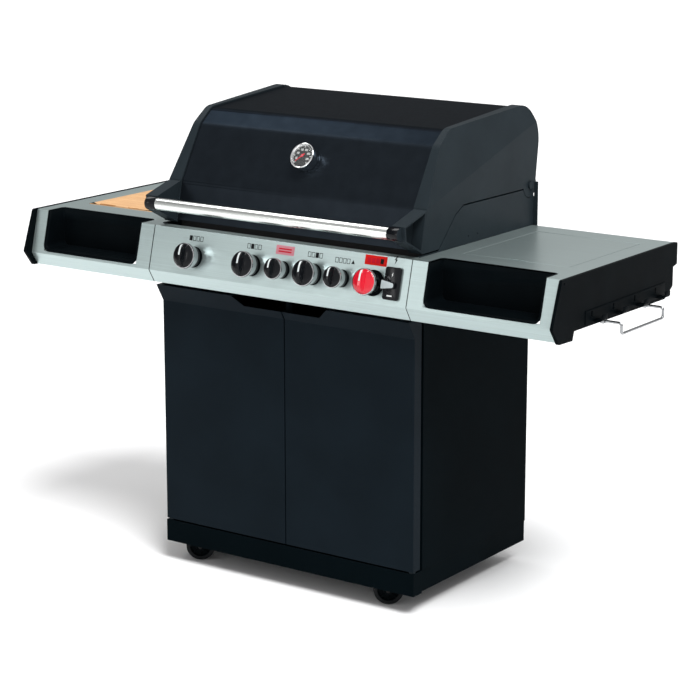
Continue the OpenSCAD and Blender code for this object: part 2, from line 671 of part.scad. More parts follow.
module side_burner() color("#2a2b2c") on_side(1) {
    translate([burner_at[0], burner_at[1], bowl_z]) difference() {
        union() {
            translate([0, 0, -20]) cylinder(r = 14, h = 30);
            translate([0, 0, 2]) cylinder(r = 22, h = 2);
            translate([0, 0, 10]) cylinder(r = 42, h = 14);
            translate([0, 0, 24]) cylinder(r1 = 40, r2 = 34, h = 5);
        }
        translate([0, 0, -20 - eps]) cylinder(r = 10, h = 35);
    }
    // pan support
    for (a = [45:90:315]) translate([burner_at[0], burner_at[1], bowl_z]) rotate([0, 0, a]) {
        box([50, -3, 2], [110, 3, 8]);
        box([50, -3, 2], [56, 3, 56]);
        box([50, -3, 50], [110, 3, 56]);
        box([104, -3, 2], [110, 3, 56]);
    }
}

// A flush lid over the side burner, hinged along its back edge.
module side_burner_cover() color(steel) on_side(1) {
    difference() {
        box([well_x[0] + 1, well_y[0] + 1, shelf_z - cover_t], [well_x[1] - 1, cover_hinge[0] + 6, shelf_z]);
        box([560, well_y[0], shelf_z - cover_t - eps], [606, well_y[0] + 7, shelf_z + eps]);
    }
    for (x = [well_x[0] + 1.5, well_x[1] - 9.5]) difference() {
        union() {
            rod_x(cover_hinge, 4, x, x + 8);
            box([x, cover_hinge[0] - 4, cover_hinge[1]], [x + 8, cover_hinge[0] + 4, shelf_z - cover_t]);
        }
        rod_x(cover_hinge, cover_pin_r + fit, x - eps, x + 8 + eps);
    }
}

// ---- lid ----

// Everything above the crease leans in towards the middle of the grill.
module leaning(x) difference() {
    children();
    translate([x, crease_at[0], crease_at[1]]) rotate([crease_angle, 0, 0])
        rotate([0, -facet_lean, 0]) translate([0, -600, 0]) cube([100, 1400, 500]);
}

module lid_side(side) color(cast_grey) on_side(side) {
    shape = [lid_foot, seam[0], seam[1], seam[2], seam[3], hinge, lid_heel, lid_rear, lid_crown,
        lid_front_top, lid_brow, lid_kink];
    radii = [3, 0, 0, 12, 0, 0, 4, 100, 56, 44, 44, 8];
    inner = inset(shape, lid_wall);
    // the cavity is open below, where the casting meets the firebox
    cavity = [inner[0], [inner[0][0] + 12, inner[0][1] - 40], [500, hinge[1] - 60],
        [inner[6][0] - 1, hinge[1] - 60], inner[6], inner[7], inner[8], inner[9], inner[10], inner[11]];
    cavity_radii = [0, 0, 0, 0, 0, 96, 52, 40, 40, 8];
    difference() {
        union() {
            leaning(lid_x) along_x(shell_x, lid_x) polygon(rounded(shape, radii));
            rod_x(hinge, boss_r, lid_x - 5, lid_x);
        }
        leaning(lid_x - 5) along_x(shell_x - eps, lid_x - 5) polygon(rounded(cavity, cavity_radii));
        rod_x(hinge, hinge_r + fit, lid_x - 40, lid_x + eps);
    }
    lid_arm();
}

// Carries the handle bar in front of the lid; hollow, and open to the outside.
module lid_arm() {
    arm = [[handle_at[0] + 6, handle_at[1] - 18], [lid_foot[0] + 1, lid_foot[1] + 3],
        [lid_kink[0] - 2, lid_kink[1] - 3], [handle_at[0] + 2, handle_at[1] + 18]];
    difference() {
        union() {
            difference() {
                along_x(shell_x + 2, lid_x) polygon(arm);
                along_x(shell_x + 8, lid_x + eps) polygon(inset(arm, 4));
            }
            rod_x(handle_at, bar_d / 2 + 1.2, sleeve_x, handle_bar_x + 4);
        }
        rod_x(handle_at, bar_d / 2, sleeve_x - eps, handle_bar_x);
    }
}

// The closed profile that the lid's sheet follows, moved inwards by d.
function lid_ring(d) = rounded(inset([lid_foot, lid_heel, lid_rear, lid_crown, lid_front_top,
    lid_brow, lid_kink], sheet_recess + d), [0, 0, 96 - d, 52 - d, 40 - d, 40 - d, 60 - d]);

// The enamelled sheet between the castings: front, top and the upper part of the back.
module lid_shell() color(enamel) placed() difference() {
    along_x(-shell_x, shell_x) polygon(lid_ring(0));
    along_x(-shell_x - eps, shell_x + eps) polygon(lid_ring(lid_sheet));
    box([-shell_x - eps, lid_foot[0] + 20, shelf_z], [shell_x + eps, lid_rear[0], lid_foot[1] + 30]);
    box([-shell_x - eps, lid_kink[0] + 20, shelf_z], [shell_x + eps, lid_rear[0], vent_z]);
    at_thermometer() translate([0, 0, -10]) cylinder(r = 4.5, h = 20);
}

module lid_handle() color(steel) placed() difference() {
    rod_x(handle_at, bar_d / 2, -handle_bar_x, handle_bar_x);
    rod_x(handle_at, bar_d / 2 - 1.5, -handle_bar_x - eps, handle_bar_x + eps);
}

// Local z points out of the lid's front, and z = 0 is on its sheet.
module at_thermometer() translate([thermo_x,
    lid_kink[0] + (thermo_z - lid_kink[1]) * tan(lid_slope), thermo_z])
    rotate([90 - lid_slope, 0, 0]) translate([0, 0, -sheet_recess]) children();

module thermometer() color(steel) placed() at_thermometer() {
    difference() {
        translate([0, 0, 1]) cylinder(r = thermo_r, h = thermo_depth - 1);
        translate([0, 0, thermo_depth - 4]) cylinder(r = thermo_r - 4, h = 5);
    }
    translate([0, 0, -60]) cylinder(r = 4, h = 62);
    translate([0, 0, 0.2]) cylinder(r = 12, h = 2);
    translate([0, 0, thermo_depth - 5]) cylinder(r = 1.5, h = 3.5);
}

module thermometer_needle() color("#c8202c") placed() at_thermometer()
    translate([0, 0, thermo_depth - 3.6]) rotate([0, 0, needle_rest]) difference() {
        union() {
            cylinder(r = 3.5, h = 1.4);
            linear_extrude(1) polygon([[-8, -1.5], [22, -0.6], [22, 0.6], [-8, 1.5]]);
        }
        translate([0, 0, -eps]) cylinder(r = 1.5 + fit, h = 4);
    }

base_pan();
cabinet_side(-1);  // cabinet_side_left
cabinet_side(1);  // cabinet_side_right
cabinet_back();
hinge_pins();
caster_plates();
firebox_tub();
firebox_side(-1);  // firebox_side_left
firebox_side(1);  // firebox_side_right
rear_shield();
main_burners();
flame_tamers();
cooking_grates();
warming_rack();
drip_rails();
drip_tray();
control_panel();
gas_manifold();
panel_trim();
turbo_lever();
shelf_left();
shelf_right();
end_cap(-1);  // end_cap_left
end_cap(1);  // end_cap_right
tray(-1, 4);  // tray_left
tray(1, 0);  // tray_right
hook_rail();
towel_bar();
side_burner_bowl();
side_burner();
side_burner_cover();
cutting_board();
door(-1);  // door_left
door(1);  // door_right
knob(0);  // knob_1
knob(1);  // knob_2
knob(2);  // knob_3
knob(3);  // knob_4
knob(4);  // knob_5
knob(5);  // knob_6
valve_stem(0);  // valve_stem_1
valve_stem(1);  // valve_stem_2
valve_stem(2);  // valve_stem_3
valve_stem(3);  // valve_stem_4
valve_stem(4);  // valve_stem_5
valve_stem(5);  // valve_stem_6
lid_shell();
lid_side(-1);  // lid_side_left
lid_side(1);  // lid_side_right
lid_handle();
thermometer();
thermometer_needle();
caster_fork(0);  // caster_fork_front_left
caster_fork(1);  // caster_fork_front_right
caster_fork(2);  // caster_fork_rear_left
caster_fork(3);  // caster_fork_rear_right
caster_wheel(0);  // caster_wheel_front_left
caster_wheel(1);  // caster_wheel_front_right
caster_wheel(2);  // caster_wheel_rear_left
caster_wheel(3);  // caster_wheel_rear_right
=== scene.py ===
"""Looks of the gas barbecue grill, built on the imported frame.
Lengths are millimetres in the design's own axes: X from the cabinet's middle, Y from the door plane
(negative towards the user) and Z from the floor. at() turns them into the frame's metres."""
import bpy
import bmesh
import math
from mathutils import Matrix, Vector
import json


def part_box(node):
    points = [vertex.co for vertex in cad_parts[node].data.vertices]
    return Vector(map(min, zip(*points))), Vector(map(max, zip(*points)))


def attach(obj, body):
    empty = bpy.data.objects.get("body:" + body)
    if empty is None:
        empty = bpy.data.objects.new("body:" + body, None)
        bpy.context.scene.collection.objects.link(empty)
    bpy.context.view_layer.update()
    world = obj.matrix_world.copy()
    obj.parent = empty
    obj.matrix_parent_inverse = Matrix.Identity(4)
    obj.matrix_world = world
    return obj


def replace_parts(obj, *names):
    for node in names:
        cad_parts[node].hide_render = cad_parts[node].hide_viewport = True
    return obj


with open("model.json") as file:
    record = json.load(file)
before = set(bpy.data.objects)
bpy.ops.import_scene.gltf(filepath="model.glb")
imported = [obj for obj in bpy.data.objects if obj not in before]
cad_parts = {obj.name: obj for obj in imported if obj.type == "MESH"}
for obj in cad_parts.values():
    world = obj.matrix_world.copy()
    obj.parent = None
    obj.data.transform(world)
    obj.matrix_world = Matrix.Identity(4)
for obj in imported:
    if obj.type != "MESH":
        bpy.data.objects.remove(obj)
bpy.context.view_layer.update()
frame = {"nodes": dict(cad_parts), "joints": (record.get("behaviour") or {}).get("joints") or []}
JOINTS = {j["name"]: j for j in frame["joints"]}
NODES = frame["nodes"]

base_low, base_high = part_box("base_pan")
ORIGIN = Vector(((base_low[0] + base_high[0]) / 2, base_low[1], 0))
SHELF_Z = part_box("shelf_right")[1][2] * 1000


def at(x, y, z):
    """A design point, in millimetres, as a point of the frame, in metres."""
    return ORIGIN + Vector((x, y, z)) / 1000


DESIGN = Matrix.Translation(ORIGIN) @ Matrix.Scale(0.001, 4)

# ---------------------------------------------------------------- camera, floor and light

cam_data = bpy.data.cameras.new("camera")
cam_data.lens, cam_data.sensor_width = 117.68, 36
cam_data.clip_end = 200
camera = bpy.data.objects.new("camera", cam_data)
bpy.context.scene.collection.objects.link(camera)
camera.location = (3.2122, -4.5481, 1.9158)
camera.rotation_euler = (math.radians(90 - 13.628), 0, math.radians(35.046))
bpy.context.scene.camera = camera
bpy.context.scene.view_settings.view_transform = "Standard"


# ---------------------------------------------------------------- node materials

class Shader:
    """A material's node tree, with short calls for the nodes that the finishes share."""

    def __init__(self, name, color, rough, metal=0.0, **sockets):
        self.material = bpy.data.materials.new(name)
        self.material.use_nodes = True
        self.tree = self.material.node_tree
        self.bsdf = self.tree.nodes["Principled BSDF"]
        self.material.diffuse_color = (*color, 1)
        self.bsdf.inputs["Base Color"].default_value = (*color, 1)
        self.bsdf.inputs["Roughness"].default_value = rough
        self.bsdf.inputs["Metallic"].default_value = metal
        for key, value in sockets.items():
            self.bsdf.inputs[key.replace("_", " ")].default_value = value
        self.where = self.add("ShaderNodeTexCoord").outputs["Object"]
        self.normal = None

    def add(self, kind, **inputs):
        node = self.tree.nodes.new(kind)
        for key, value in inputs.items():
            if hasattr(value, "is_output"):
                self.tree.links.new(value, node.inputs[key])
            else:
                node.inputs[key].default_value = value
        return node

    def noise(self, scale, detail=3.0, rough=0.5, stretch=(1, 1, 1), distortion=0.0):
        """A noise value from 0 to 1. stretch multiplies the coordinates, so a small number draws it out."""
        mapping = self.add("ShaderNodeMapping", Vector=self.where, Scale=stretch)
        return self.add("ShaderNodeTexNoise", Vector=mapping.outputs["Vector"], Scale=scale,
                        Detail=detail, Roughness=rough, Distortion=distortion).outputs["Fac"]

    def ramp(self, value, stops):
        """A colour or grey ramp: stops is a list of (position, colour or number)."""
        node = self.tree.nodes.new("ShaderNodeValToRGB")
        self.tree.links.new(value, node.inputs["Fac"])
        ramp = node.color_ramp
        while len(ramp.elements) < len(stops):
            ramp.elements.new(0.5)
        for element, (place, shade) in zip(ramp.elements, stops):
            element.position = place
            element.color = (shade, shade, shade, 1) if isinstance(shade, (int, float)) else (*shade, 1)
        return node.outputs["Color"]

    def color(self, value, stops):
        self.tree.links.new(self.ramp(value, stops), self.bsdf.inputs["Base Color"])
        return self

    def rough(self, value, low, high):
        node = self.add("ShaderNodeMapRange", Value=value)
        node.inputs["To Min"].default_value, node.inputs["To Max"].default_value = low, high
        self.tree.links.new(node.outputs["Result"], self.bsdf.inputs["Roughness"])
        return self

    def bump(self, value, height, strength=1.0):
        """Adds a bump of that height in metres on top of the last one."""
        node = self.add("ShaderNodeBump", Height=value, Strength=strength, Distance=height)
        if self.normal is not None:
            self.tree.links.new(self.normal, node.inputs["Normal"])
        self.normal = node.outputs["Normal"]
        self.tree.links.new(self.normal, self.bsdf.inputs["Normal"])
        return self

    def worn(self, edge_color, amount=0.5, size=0.0012):
        """Lighter, rubbed edges from the difference between the true and the bevelled normal."""
        bevel = self.add("ShaderNodeBevel", Radius=size)
        bevel.samples = 4
        geometry = self.add("ShaderNodeNewGeometry")
        dot = self.add("ShaderNodeVectorMath")
        dot.operation = "DOT_PRODUCT"
        self.tree.links.new(bevel.outputs["Normal"], dot.inputs[0])
        self.tree.links.new(geometry.outputs["Normal"], dot.inputs[1])
        edge = self.ramp(dot.outputs["Value"], [(0.80, 1.0), (0.985, 0.0)])
        speck = self.ramp(self.noise(60, 4, 0.6), [(0.35, 0.0), (0.7, amount)])
        both = self.add("ShaderNodeMath")
        both.operation = "MULTIPLY"
        self.tree.links.new(edge, both.inputs[0])
        self.tree.links.new(speck, both.inputs[1])
        mix = self.tree.nodes.new("ShaderNodeMix")
        mix.data_type = "RGBA"
        self.tree.links.new(both.outputs[0], mix.inputs["Factor"])
        base = self.bsdf.inputs["Base Color"]
        if base.is_linked:
            self.tree.links.new(base.links[0].from_socket, mix.inputs["A"])
        else:
            mix.inputs["A"].default_value = base.default_value
        mix.inputs["B"].default_value = (*edge_color, 1)
        self.tree.links.new(mix.outputs["Result"], base)
        return self


def brushed(name, tone, rough, along=(3, 900, 900)):
    """Stainless steel with fine grinding lines along the axis that along gives the smallest number."""
    s = Shader(name, tone, rough, 1.0)
    lines = s.noise(1.0, 5, 0.65, stretch=along)
    broad = s.noise(2.2, 3, 0.5)
    s.color(lines, [(0.3, tuple(0.88 * c for c in tone)), (0.7, tuple(min(1, 1.07 * c) for c in tone))])
    mixed = s.add("ShaderNodeMath")
    mixed.operation = "MULTIPLY"
    s.tree.links.new(lines, mixed.inputs[0])
    s.tree.links.new(broad, mixed.inputs[1])
    s.rough(mixed.outputs[0], rough - 0.10, rough + 0.22)
    return s.bump(lines, 0.00004, 0.35).bump(broad, 0.0004, 0.12)


def powder(name, color, rough, grain=1600, height=0.00005, shine=0.05):
    """Powder coat: a fine orange peel and slightly uneven gloss."""
    s = Shader(name, color, rough, Specular_IOR_Level=shine)
    broad = s.noise(5, 3)
    s.color(broad, [(0.3, tuple(0.86 * c for c in color)), (0.75, tuple(1.16 * c for c in color))])
    s.rough(s.noise(24, 4), rough - 0.05, rough + 0.07)
    return s.bump(s.noise(grain, 2), height, 0.5).bump(broad, 0.0005, 0.08)


def moulded(name, color, rough, grain=2600, height=0.00006, shine=0.05):
    """Moulded plastic with an etched grain."""
    s = Shader(name, color, rough, Specular_IOR_Level=shine)
    s.color(s.noise(14, 4), [(0.3, tuple(0.85 * c for c in color)), (0.7, tuple(1.18 * c for c in color))])
    cells = s.add("ShaderNodeTexVoronoi", Vector=s.where, Scale=float(grain)).outputs["Distance"]
    s.rough(s.noise(40, 3), rough - 0.05, rough + 0.06)
    return s.bump(cells, height, 0.5)


def gloss(name, color, rough=0.09, shine=0.45, coat=0.35):
    s = Shader(name, color, rough, 0.0, Coat_Weight=coat, Coat_Roughness=0.05, Specular_IOR_Level=shine)
    s.color(s.noise(30, 2), [(0.3, tuple(0.92 * c for c in color)), (0.7, tuple(1.08 * c for c in color))])
    s.rough(s.noise(90, 4, 0.7), rough - 0.03, rough + 0.08)
    return s.bump(s.noise(120, 2), 0.00006, 0.12)


def cast_metal(name, color, rough):
    """Matt paint over die-cast metal, with a sandy skin."""
    s = Shader(name, color, rough, Specular_IOR_Level=0.06)
    s.color(s.noise(9, 4), [(0.3, tuple(0.88 * c for c in color)), (0.72, tuple(1.14 * c for c in color))])
    s.rough(s.noise(50, 4), rough - 0.06, rough + 0.06)
    s.bump(s.noise(1500, 3, 0.6), 0.00009, 0.6).bump(s.noise(7, 2), 0.0006, 0.08)
    return s.worn(tuple(min(1.0, 1.9 * c) for c in color), 0.5)


MATERIALS = {}
MATERIALS["stainless"] = brushed("stainless", (0.47, 0.565, 0.56), 0.35).material
MATERIALS["stainless_y"] = brushed("stainless_along_y", (0.50, 0.605, 0.60), 0.34, (900, 3, 900)).material
MATERIALS["stainless"].node_tree.nodes["Principled BSDF"].inputs["Metallic"].default_value = 0.8
MATERIALS["bar_steel"] = brushed("handle_steel", (0.74, 0.76, 0.74), 0.20, (4, 500, 500)).material
MATERIALS["chrome"] = gloss("chrome_plate", (0.80, 0.81, 0.82), 0.07).material
MATERIALS["chrome"].node_tree.nodes["Principled BSDF"].inputs["Metallic"].default_value = 1.0
enamel = gloss("lid_enamel", (0.0165, 0.0212, 0.027), 0.28, 0.5, 0.0)
enamel.bsdf.inputs["Metallic"].default_value = 0.7
enamel.bsdf.inputs["Specular Tint"].default_value = (0.08, 0.08, 0.09, 1)
enamel.bsdf.inputs["Specular IOR Level"].default_value = 0.02
MATERIALS["lid_enamel"] = enamel.bump(enamel.noise(300, 2), 0.00005, 0.2).material
MATERIALS["cast_grey"] = cast_metal("cast_grey", (0.0158, 0.0222, 0.0268), 0.46).material
MATERIALS["cabinet_black"] = powder("cabinet_black", (0.0016, 0.0036, 0.0048), 0.42, shine=0.006).worn(
    (0.02, 0.024, 0.028), 0.5).material
MATERIALS["door_black"] = powder("door_black", (0.0054, 0.0094, 0.0132), 0.36, shine=0.022).worn(
    (0.03, 0.036, 0.042), 0.5).material
MATERIALS["black_plastic"] = moulded("black_plastic", (0.0018, 0.0030, 0.0038), 0.42, shine=0.012).worn(
    (0.03, 0.034, 0.038), 0.4).material
MATERIALS["gloss_black"] = gloss("gloss_black", (0.0045, 0.0052, 0.0066), 0.12, 0.14, 0.08).material
MATERIALS["wire"] = gloss("wire_plating", (0.36, 0.37, 0.38), 0.2).material
MATERIALS["skirt"] = gloss("knob_skirt_plating", (0.50, 0.51, 0.52), 0.12).material
for plated in ("wire", "skirt"):
    MATERIALS[plated].node_tree.nodes["Principled BSDF"].inputs["Metallic"].default_value = 1.0
MATERIALS["gloss_red"] = gloss("gloss_red", (0.60, 0.006, 0.022)).material
MATERIALS["pointer"] = powder("pointer_silver", (0.62, 0.66, 0.66), 0.3, 900).material
MATERIALS["lever_grey"] = powder("lever_grey", (0.42, 0.47, 0.48), 0.35, 900).material
MATERIALS["print_black"] = powder("print_black", (0.012, 0.013, 0.014), 0.5, 700, 0.00002).material
MATERIALS["print_white"] = powder("print_white", (0.75, 0.77, 0.76), 0.5, 700, 0.00002).material
MATERIALS["print_red"] = powder("print_red", (0.75, 0.016, 0.012), 0.42, 700, 0.00002).material
MATERIALS["print_pink"] = powder("print_pink", (0.70, 0.27, 0.32), 0.45, 700, 0.00002).material
MATERIALS["needle_red"] = powder("needle_red", (0.62, 0.012, 0.03), 0.4, 700, 0.00002).material
MATERIALS["dial"] = powder("dial_black", (0.008, 0.010, 0.011), 0.5, 900, 0.00002).material
MATERIALS["cast_iron"] = cast_metal("cast_iron", (0.020, 0.020, 0.021), 0.55).material
MATERIALS["firebox_steel"] = powder("firebox_steel", (0.055, 0.055, 0.056), 0.5, 900).material
MATERIALS["zinc"] = brushed("zinc", (0.50, 0.51, 0.52), 0.42, (60, 60, 60)).material
MATERIALS["brass"] = brushed("brass", (0.62, 0.45, 0.20), 0.32, (400, 400, 30)).material
MATERIALS["rubber"] = moulded("wheel_rubber", (0.010, 0.011, 0.012), 0.55, 1800).worn(
    (0.05, 0.05, 0.05), 0.6).material

wood = Shader("oiled_wood", (0.66, 0.40, 0.20), 0.42)
bands = wood.add("ShaderNodeTexWave", Vector=wood.add(
    "ShaderNodeMapping", Vector=wood.where, Scale=(1, 14, 3), Rotation=(0.05, 0.1, 0.04)).outputs["Vector"],
    Scale=2.6, Distortion=7.0, Detail=4.0)
bands.wave_type, bands.bands_direction = "BANDS", "Y"
bands.inputs["Detail Scale"].default_value = 1.4
fibre = wood.noise(1.0, 6, 0.7, stretch=(14, 420, 420))
wood_mix = wood.add("ShaderNodeMath")
wood_mix.operation = "MULTIPLY_ADD"
wood.tree.links.new(fibre, wood_mix.inputs[0])
wood_mix.inputs[1].default_value = 0.55
wood_half = wood.add("ShaderNodeMath")
wood_half.operation = "MULTIPLY"
wood_half.inputs[1].default_value = 0.5
wood.tree.links.new(bands.outputs["Fac"], wood_half.inputs[0])
wood.tree.links.new(wood_half.outputs[0], wood_mix.inputs[2])
wood.color(wood_mix.outputs[0], [(0.18, (0.46, 0.22, 0.085)), (0.5, (0.68, 0.38, 0.17)), (0.85, (0.80, 0.52, 0.27))])
wood.rough(fibre, 0.34, 0.55)
MATERIALS["wood"] = wood.bump(fibre, 0.0001, 0.4).material

glass = Shader("dial_glass", (1, 1, 1), 0.03, 0.0, Alpha=0.05, Coat_Weight=0.15, Coat_Roughness=0.02)
MATERIALS["glass"] = glass.bump(glass.noise(40, 1), 0.00002, 0.05).material


# ---------------------------------------------------------------- making pieces

def finish_object(obj, body, finish, smooth=30):
    """Gives a new object its material, shading and body."""
    bpy.context.scene.collection.objects.link(obj)
    obj.data.materials.append(MATERIALS[finish])
    for face in obj.data.polygons:
        face.use_smooth = True
    obj.data.set_sharp_from_angle(angle=math.radians(smooth))
    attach(obj, body)
    return obj


def from_data(name, verts, faces, matrix, body, finish, smooth=30):
    mesh = bpy.data.meshes.new(name)
    mesh.from_pydata([matrix @ Vector(v) for v in verts], [], faces)
    mesh.validate()
    mesh.update()
    return finish_object(bpy.data.objects.new(name, mesh), body, finish, smooth)


def lathe(name, profile, matrix, body, finish, steps=64, smooth=35, closed=False):
    """Turns (radius, height) points round the matrix's Z axis."""
    verts, faces = [], []
    n = len(profile)
    for k in range(steps):
        a = 2 * math.pi * k / steps
        verts += [(r * math.cos(a), r * math.sin(a), z) for r, z in profile]
    for k in range(steps):
        j = (k + 1) % steps
        for i in range(n - 1 if not closed else n):
            m = (i + 1) % n
            faces.append((k * n + i, j * n + i, j * n + m, k * n + m))
    obj = from_data(name, verts, faces, matrix, body, finish, smooth)
    mesh = bmesh.new()
    mesh.from_mesh(obj.data)
    bmesh.ops.remove_doubles(mesh, verts=mesh.verts, dist=1e-7)
    bmesh.ops.recalc_face_normals(mesh, faces=mesh.faces)
    mesh.to_mesh(obj.data)
    mesh.free()
    return obj


def prism(name, outline, z0, z1, matrix, body, finish, bevel=0.6, segments=3, smooth=30):
    """An outline in the matrix's XY plane, raised from z0 to z1, with rounded edges."""
    mesh = bmesh.new()
    low = [mesh.verts.new((x, y, z0)) for x, y in outline]
    high = [mesh.verts.new((x, y, z1)) for x, y in outline]
    n = len(outline)
    mesh.faces.new(low[::-1])
    mesh.faces.new(high)
    for i in range(n):
        mesh.faces.new((low[i], low[(i + 1) % n], high[(i + 1) % n], high[i]))
    bmesh.ops.recalc_face_normals(mesh, faces=mesh.faces)
    if bevel:
        sharp = [e for e in mesh.edges if e.calc_face_angle(0) > math.radians(28)]
        bmesh.ops.bevel(mesh, geom=sharp, offset=bevel, segments=segments, profile=0.5, affect="EDGES")
    mesh.transform(matrix)
    data = bpy.data.meshes.new(name)
    mesh.to_mesh(data)
    mesh.free()
    return finish_object(bpy.data.objects.new(name, data), body, finish, smooth)


def block(name, low, high, body, finish, bevel=0.6, matrix=DESIGN):
    """A rounded block between two design corners."""
    outline = [(low[0], low[1]), (high[0], low[1]), (high[0], high[1]), (low[0], high[1])]
    return prism(name, outline, low[2], high[2], matrix, body, finish, bevel)


def round_outline(points, radii, steps=6):
    """Rounds the corners of a closed outline."""
    made = []
    n = len(points)
    for i in range(n):
        p = Vector(points[i])
        r = radii[i] if isinstance(radii, (list, tuple)) else radii
        if r <= 0:
            made.append((p.x, p.y))
            continue
        u = (Vector(points[i - 1]) - p).normalized()
        v = (Vector(points[(i + 1) % n]) - p).normalized()
        half = u.angle(v) / 2
        centre = p + (u + v).normalized() * r / math.sin(half)
        a = p + u * r / math.tan(half) - centre
        b = p + v * r / math.tan(half) - centre
        a0 = math.atan2(a.y, a.x)
        turn = (math.atan2(b.y, b.x) - a0 + math.pi) % (2 * math.pi) - math.pi
        for k in range(steps + 1):
            t = a0 + turn * k / steps
            made.append((centre.x + r * math.cos(t), centre.y + r * math.sin(t)))
    return made


def frame_of(pos, z_axis, x_axis=(1, 0, 0)):
    """A millimetre frame at a point of the row frame, with its Z and X directions given."""
    z = Vector(z_axis).normalized()
    y = z.cross(Vector(x_axis)).normalized()
    x = y.cross(z)
    m = Matrix((x, y, z)).transposed().to_4x4()
    return Matrix.Translation(Vector(pos)) @ m @ Matrix.Scale(0.001, 4)


def screw(name, matrix, body, r=4.0, finish="zinc"):
    """A pan-head screw with a cross recess, seated on the matrix's XY plane."""
    rings = [(0.0, 0.55 * r), (0.35 * r, 0.54 * r), (0.75 * r, 0.42 * r), (0.95 * r, 0.24 * r), (r, 0.0)]
    mesh_verts, faces = [(0, 0, rings[0][1])], []
    steps = 24
    for rr, z in rings[1:]:
        for k in range(steps):
            a = 2 * math.pi * k / steps
            slot_cut = rr < 0.5 * r and (k % 6) in (0,)
            mesh_verts.append((rr * math.cos(a), rr * math.sin(a), z - (0.35 * r if slot_cut else 0)))
    for k in range(steps):
        j = (k + 1) % steps
        faces.append((0, 1 + k, 1 + j))
        for ring in range(len(rings) - 2):
            a, b = 1 + ring * steps, 1 + (ring + 1) * steps
            faces.append((a + k, b + k, b + j, a + j))
    return from_data(name, mesh_verts, faces, matrix, body, finish, 40)


def side_frame(x, y, z, outward):
    """A frame on a plane that faces +X or -X."""
    return frame_of(at(x, y, z), (outward, 0, 0), (0, 1, 0))


# ---------------------------------------------------------------- CAD nodes that stay

FINISH_OF = {
    "base_pan": "cabinet_black", "cabinet_side_left": "cabinet_black", "cabinet_side_right": "cabinet_black",
    "cabinet_back": "cabinet_black", "rear_shield": "cast_grey", "door_left": "door_black",
    "door_right": "door_black", "hinge_pins": "cast_grey", "caster_plates": "zinc", "gas_manifold": "zinc",
    "drip_tray": "zinc", "drip_rails": "zinc", "firebox_tub": "firebox_steel", "side_burner_bowl": "stainless",
    "flame_tamers": "stainless_y", "firebox_side_left": "cast_grey", "firebox_side_right": "cast_grey",
    "lid_side_left": "cast_grey", "lid_side_right": "cast_grey", "main_burners": "stainless_y",
    "warming_rack": "chrome", "control_panel": "stainless", "shelf_left": "stainless",
    "shelf_right": "stainless", "towel_bar": "wire", "side_burner_cover": "stainless",
    "lid_handle": "bar_steel", "cooking_grates": "cast_iron", "side_burner": "cast_iron",
    "end_cap_left": "black_plastic", "end_cap_right": "black_plastic",
    "lid_shell": "lid_enamel", "thermometer_needle": "needle_red",
}
FINISH_OF.update({f"valve_stem_{i}": "brass" for i in range(1, 7)})
EDGE = {"lid_handle": 0, "towel_bar": 0, "warming_rack": 0, "lid_shell": 0.5, "control_panel": 0.9,
        "shelf_left": 0.9, "shelf_right": 0.9, "lid_side_left": 1.4, "lid_side_right": 1.4,
        "firebox_side_left": 1.2, "firebox_side_right": 1.2, "end_cap_left": 1.2, "end_cap_right": 1.2,
        "door_left": 1.2, "door_right": 1.2, "cooking_grates": 1.5, "thermometer_needle": 0.1,
        "main_burners": 0.3}

for node_name, finish in FINISH_OF.items():
    obj = NODES[node_name]
    obj.data.materials.clear()
    obj.data.materials.append(MATERIALS[finish])
    weld = obj.modifiers.new("weld", "WELD")
    weld.merge_threshold = 0.00002
    edge = EDGE.get(node_name, 0.7)
    if edge:
        bevel = obj.modifiers.new("soft_edges", "BEVEL")
        bevel.width = edge / 1000
        bevel.segments = 2
        bevel.limit_method = "ANGLE"
        bevel.angle_limit = math.radians(28)
        bevel.harden_normals = True
        bevel.use_clamp_overlap = True

# ---------------------------------------------------------------- knobs

KNOB_BIG = [1, 2, 4, 6]
RED_KNOB = 6
CAP_BASE = 41.2                 # height of a cap's edge over the panel


def knob_height(x, y, r):
    """Height of a knob's cap over its edge: a low dome, and a grip bar that runs from top to bottom."""
    d = math.hypot(x, y) / r
    dome = 5.0 * math.sqrt(max(0.0, 1 - d ** 2.6)) + 1.2 * (1 - d * d)
    wide = 0.19 * r
    slope = max(0.0, min(1.0, (abs(x) - 0.72 * wide) / (0.95 * wide)))
    flank = 1 - slope * slope * (3 - 2 * slope)
    rim = min(1.0, max(0.0, (1.0 - d) / 0.16))
    length = 1 - (abs(y) / r) ** 4 * 0.35
    return dome + flank * 13.5 * length * math.sqrt(rim)


